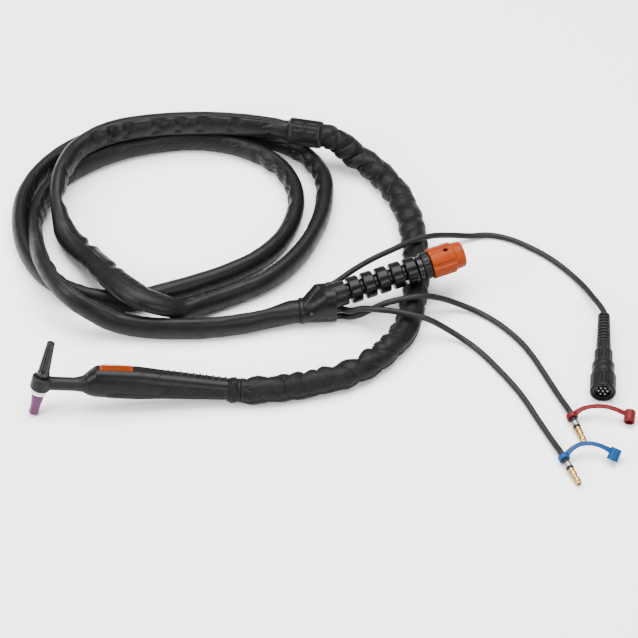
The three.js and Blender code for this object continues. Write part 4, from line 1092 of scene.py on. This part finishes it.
def bend_relief():
    profile = [(CUFF_END + GAP, 4), (CUFF_END + GAP, RIB_CORE)]
    for i in range(RIB_COUNT):
        start = RIB_FIRST + i * RIB_PITCH - RIB_LENGTH / 2
        stop = start + RIB_LENGTH
        profile += [(start, RIB_CORE), (start + 0.3, RIB_R - 1.3), (start + 1.7, RIB_R),
                    (stop - 1.7, RIB_R - 0.1),
                    (stop - 0.3, RIB_R - 1.3), (stop, RIB_CORE)]
    profile += [(RELIEF_END, RIB_CORE), (RELIEF_END, 4)]
    return lathe("ribbed_relief", profile, POWER, "x", 128, 0.8, 0.5, sharp=50)


piece(bend_relief(), "black_rubber", ["bend_relief"], look="relief_rubber")
CAP_START, CAP_END, CAP_R = 117, 160, 19
PLUG_START = RELIEF_END + GAP
RING_START = PLUG_START + 6
piece(lathe("plug_barrel", [(PLUG_START, 0), (PLUG_START, 14.4), (PLUG_START + 2.6, 14.6),
                            (PLUG_START + 3, 14.1),
                            (PLUG_START + 3.6, 14.6), (RING_START - GAP, 14.6), (RING_START - GAP, 12.4),
                            (CAP_START + 6, 12.4), (CAP_START + 7, 11.6), (CAP_START + 26, 11.6),
                            (CAP_START + 26, 7.4),
                            (CAP_START + 10, 7.4), (CAP_START + 10, 0)], POWER, "x", 96, 0.5),
      "black_moulding", ["plug_body"], look="black_gloss")


def ring_shape(along, across, turn):
    notch = np.clip(np.cos(12 * turn), 0, 1) ** 6 * between(along, RING_START + 2, CAP_START - 3, 1)
    return np.where(across > 14, across - 0.5 * notch, across)


piece(lathe("plug_lock_ring", [(RING_START, 12.7), (RING_START, 15.8), (RING_START + 1.4, 17),
                               (CAP_START - 1.8, 17),
                               (CAP_START - GAP, 16), (CAP_START - GAP, 12.7)], POWER, "x", 144, 0.5, 0.5,
            ring_shape),
      "black_moulding", ["plug_ring"])
CAP_STEP = CAP_START + 30


def fluted(turn, count, distance, radius, offset=0.5):
    """How far out the surface may reach where round flutes run along it."""
    off = (turn - TAU * offset / count + math.pi / count) % (TAU / count) - math.pi / count
    under = radius**2 - (distance * np.sin(off)) ** 2
    return np.where(under > 0, distance * np.cos(off) - np.sqrt(np.maximum(under, 0)), 1e3)


def cover_shape(along, across, turn):
    limit = fluted(turn, 6, CAP_R + 2.6, 4.6)
    deep = across > 15.2
    reach = np.minimum(across, np.where(along < CAP_STEP + 0.5, limit, 1e3))
    return np.where(deep, np.maximum(reach, 15.2), across)


def protective_cap():
    profile = [(CAP_START, CAP_R - 0.6), (CAP_START + 1, CAP_R), (CAP_STEP - 1, CAP_R),
               (CAP_STEP, CAP_R - 2), (CAP_END - 2, CAP_R - 3), (CAP_END, CAP_R - 5)]
    made = lathe("cable_plug_cover", [(CAP_START, 0), *profile, (CAP_END, 0)], POWER, "x", 192, 0.8, 0.6,
                 cover_shape, 45)
    bore = drum("tool", CAP_START - 2, CAP_END - 3, 13.6, POWER, around=72)
    spun = Place((CAP_START + 21, 0, 0), 0, 0, 5, POWER)
    return cut(made, [bore, pin(3.3, 5, 30, spun, "z", around=36)])


piece(protective_cap(), "orange_plastic", ["protective_cap"], "plug_cover")

# ---------------------------------------------------------------- control connector

BOOT, SHELL, BODY, COUPLING = 49, 82, 102, 128.4


def control_boot():
    profile = [(0, 0), (0, 5.4)]
    bellows = 9
    pitch = (BOOT - 4) / bellows
    for i in range(bellows):
        start, grow = 1 + i * pitch, 0.13 * i
        profile += [(start + 0.5, 7.4 + grow), (start + pitch - 1.9, 7.4 + grow),
                    (start + pitch - 1.3, 5.1 + grow),
                    (start + pitch - 0.1, 5.1 + grow)]
    profile += [(BOOT - 2.6, 8.7), (BOOT, 8.7), (BOOT, 0)]
    return lathe("connector_boot", profile, CONTROL, "x", 80, 0.5)


def shell_shape(along, across, turn):
    grip = between(along, BOOT + 15, SHELL - 2.5, 1.5) * np.clip(np.cos(10 * turn), 0, 1) ** 3
    flat = between(along, BOOT + 2, BOOT + 11.5, 0.8) * np.clip(np.cos(6 * turn), 0, 1) ** 4
    return np.where(across > 7, across - 0.7 * grip - 0.6 * flat, across)


def knurl_shape(along, across, turn):
    limit = fluted(turn, 20, 15.6 + 0.5, 1.25)
    cut_in = np.minimum(across, limit)
    inside = between(along, BODY + 2.6, COUPLING - 4.2, 1.2)
    return np.where(across > 14.2, across * (1 - inside) + np.maximum(cut_in, 14.2) * inside, across)


piece(control_boot(), "black_rubber", ["control_boot"])
piece(lathe("connector_backshell", [(BOOT + GAP, 0), (BOOT + GAP, 8.2), (BOOT + 1.5, 9.2), (BOOT + 12, 9.2),
                                    (BOOT + 14, 11.2), (SHELL - 1, 11.2), (SHELL - GAP, 10.2),
                                    (SHELL - GAP, 0)],
            CONTROL, "x", 120, 0.7, 0.6, shell_shape), "black_moulding", ["control_backshell"])
piece(lathe("connector_body", [(SHELL, 0), (SHELL, 12.4), (SHELL + 1.6, 13.7), (SHELL + 8, 13.7),
                               (SHELL + 8.6, 13),
                               (SHELL + 9.6, 13), (SHELL + 10.2, 13.7), (BODY - 1.5, 13.7),
                               (BODY - 1.5, 12.2),
                               (COUPLING - 9, 12.2), (COUPLING - 9, 0)], CONTROL, "x", 96, 0.5),
      "black_moulding", ["control_body"])
piece(lathe("connector_coupling", [(BODY, 12.6), (BODY, 14.6), (BODY + 1, 15.6), (COUPLING - 1, 15.6),
                                   (COUPLING, 14.6),
                                   (COUPLING, 12.6)], CONTROL, "x", 240, 0.5, 0.6, knurl_shape),
      "black_moulding", ["coupling_ring"], "coupling")
FLOOR_X = COUPLING - 7
piece(lathe("connector_insert", [(COUPLING - 8.7, 0), (COUPLING - 8.7, 12.1), (COUPLING - 2, 12.1),
                                 (COUPLING - 2, 10.6),
                                 (FLOOR_X, 10.6), (FLOOR_X, 0)], CONTROL, "x", 72, 0.3),
      "black_moulding", ["control_insert"], look="black_gloss")


def contact_pins():
    parts = []
    for row, count in ((5.2, 2), (0, 3), (-5.2, 2)):
        for i in range(count):
            spot = Place((0, (i - (count - 1) / 2) * 5.2, row), 0, 0, 0, CONTROL)
            parts.append(lathe("pin", [(FLOOR_X + 0.2, 0), (FLOOR_X + 0.2, 1.25), (COUPLING - 3, 1.25),
                                       (COUPLING - 2.4, 0.8),
                                       (COUPLING - 2.4, 0)], spot, "x", 24, 0.3))
    made = joined("contact_pins", parts)
    smoothed(made)
    return made


piece(contact_pins(), "brass", ["control_pins"], look="steel")

# ---------------------------------------------------------------- hose ends


def strap(name, route):
    _, line = smooth_line(route, 0.8)
    _, side, up = frames_of(line)
    turn = np.arange(32) * TAU / 32
    power = 2 / 3.6
    across = np.sign(np.cos(turn)) * np.abs(np.cos(turn)) ** power
    thick = np.sign(np.sin(turn)) * np.abs(np.sin(turn)) ** power
    share = np.linspace(-1, 1, len(line))
    wide = (3.1 + 0.9 * share**4)[:, None] * across
    high = (1.15 * thick)[None, :, None]
    return tube_mesh(name, line[:, None] + side[:, None] * wide[..., None] + up[:, None] * high)


def dust_cap(colour):
    end, cap = ENDS[colour], CAPS[colour]
    ring = lathe("ring", [(-3, 3), (-3, 6.6), (-2.2, 7), (2.2, 7), (3, 6.6), (3, 3)], end, "x", 64, 0.5)
    body = lathe("body", [(-7.4, 0), (-7.4, 6.1), (-6.6, 6.7), (5.8, 6.7), (6.2, 7), (7.3, 7), (7.8, 6.4),
                          (7.8, 0)], cap, "x", 64, 0.6)
    made = fused(colour + "_cap_and_strap", [ring, body, strap("band", STRAP_ROUTES[colour])], 0.42, 4, 50)
    tools = [pin(4.3, -20, 20, end, around=40), pin(4.7, -4.4, 12, cap, around=40)]
    return cut(made, tools, sharp=50)


def clamp(colour):
    end = ENDS[colour]
    start, stop = HOSE_STUB + GAP, 14.5
    return lathe(colour + "_hose_clamp", [(start, 2.7), (start, 4.5), (start + 1.1, 4.5), (start + 1.4, 4.2),
                                          (start + 2.2, 4.2),
                                          (start + 2.5, 4.5), (stop - 1.4, 4.5), (stop - 1.1, 4.2),
                                          (stop - 0.6, 4.4), (stop, 4.4),
                                          (stop, 2.7)], end, "x", 64, 0.2)


for colour in ("red", "blue"):
    piece(dust_cap(colour), colour + "_rubber", [colour + "_dust_cap"], colour + "_cap")
    piece(clamp(colour), "steel", [colour + "_clamp"])
    piece(lathe(colour + "_flange", [(14.8, 2.7), (14.8, 4.8), (17.5, 4.8), (17.5, 2.7)], ENDS[colour], "x",
                64, 0.5),
          "black_moulding", [colour + "_ferrule"])
    start = HOSE_STUB + GAP
    profile = [(start, 1.2), (start, 2.4), (17.8, 2.4), (17.8, 4.3), (20.6, 4.3), (21, 3.9), (22, 3.9),
               (22.4, 4.3), (27.5, 4.3),
               (28.6, 3.3), (31.6, 3.3), (32.6, 4.2), (36.5, 4.1), (38.2, 3.4), (40.3, 3.4), (40.3, 1.9),
               (21.5, 1.9), (21.5, 1.2)]
    piece(lathe(colour + "_water_nipple", profile, ENDS[colour], "x", 64, 0.35), "brass",
          [colour + "_nipple"])

# ---------------------------------------------------------------- CAD nodes that stay as they are

slots = {row["node"]: row["material_slot"] for row in frame["record"]["subparts"]}
for node, made in frame["nodes"].items():
    made.data.materials.clear()
    made.data.materials.append(LOOKS["dark_steel" if "screw" in node else slots[node]])

# ---------------------------------------------------------------- floor

floor_look = Look("floor", 0.9)
floor_look.colour(floor_look.mix(floor_look.noise(400, 2), (0.86, 0.86, 0.86), (0.88, 0.88, 0.88)))
floor_look.shader.inputs["Specular IOR Level"].default_value = 0.2
FLOOR_CORNERS = [(-9000, -7000, 0), (9500, -7000, 0), (9500, 12000, 0), (-9000, 12000, 0)]
floor = mesh_object("floor", np.array(FLOOR_CORNERS, float), [[0, 1, 2, 3]])
floor.data.materials.append(floor_look.material)
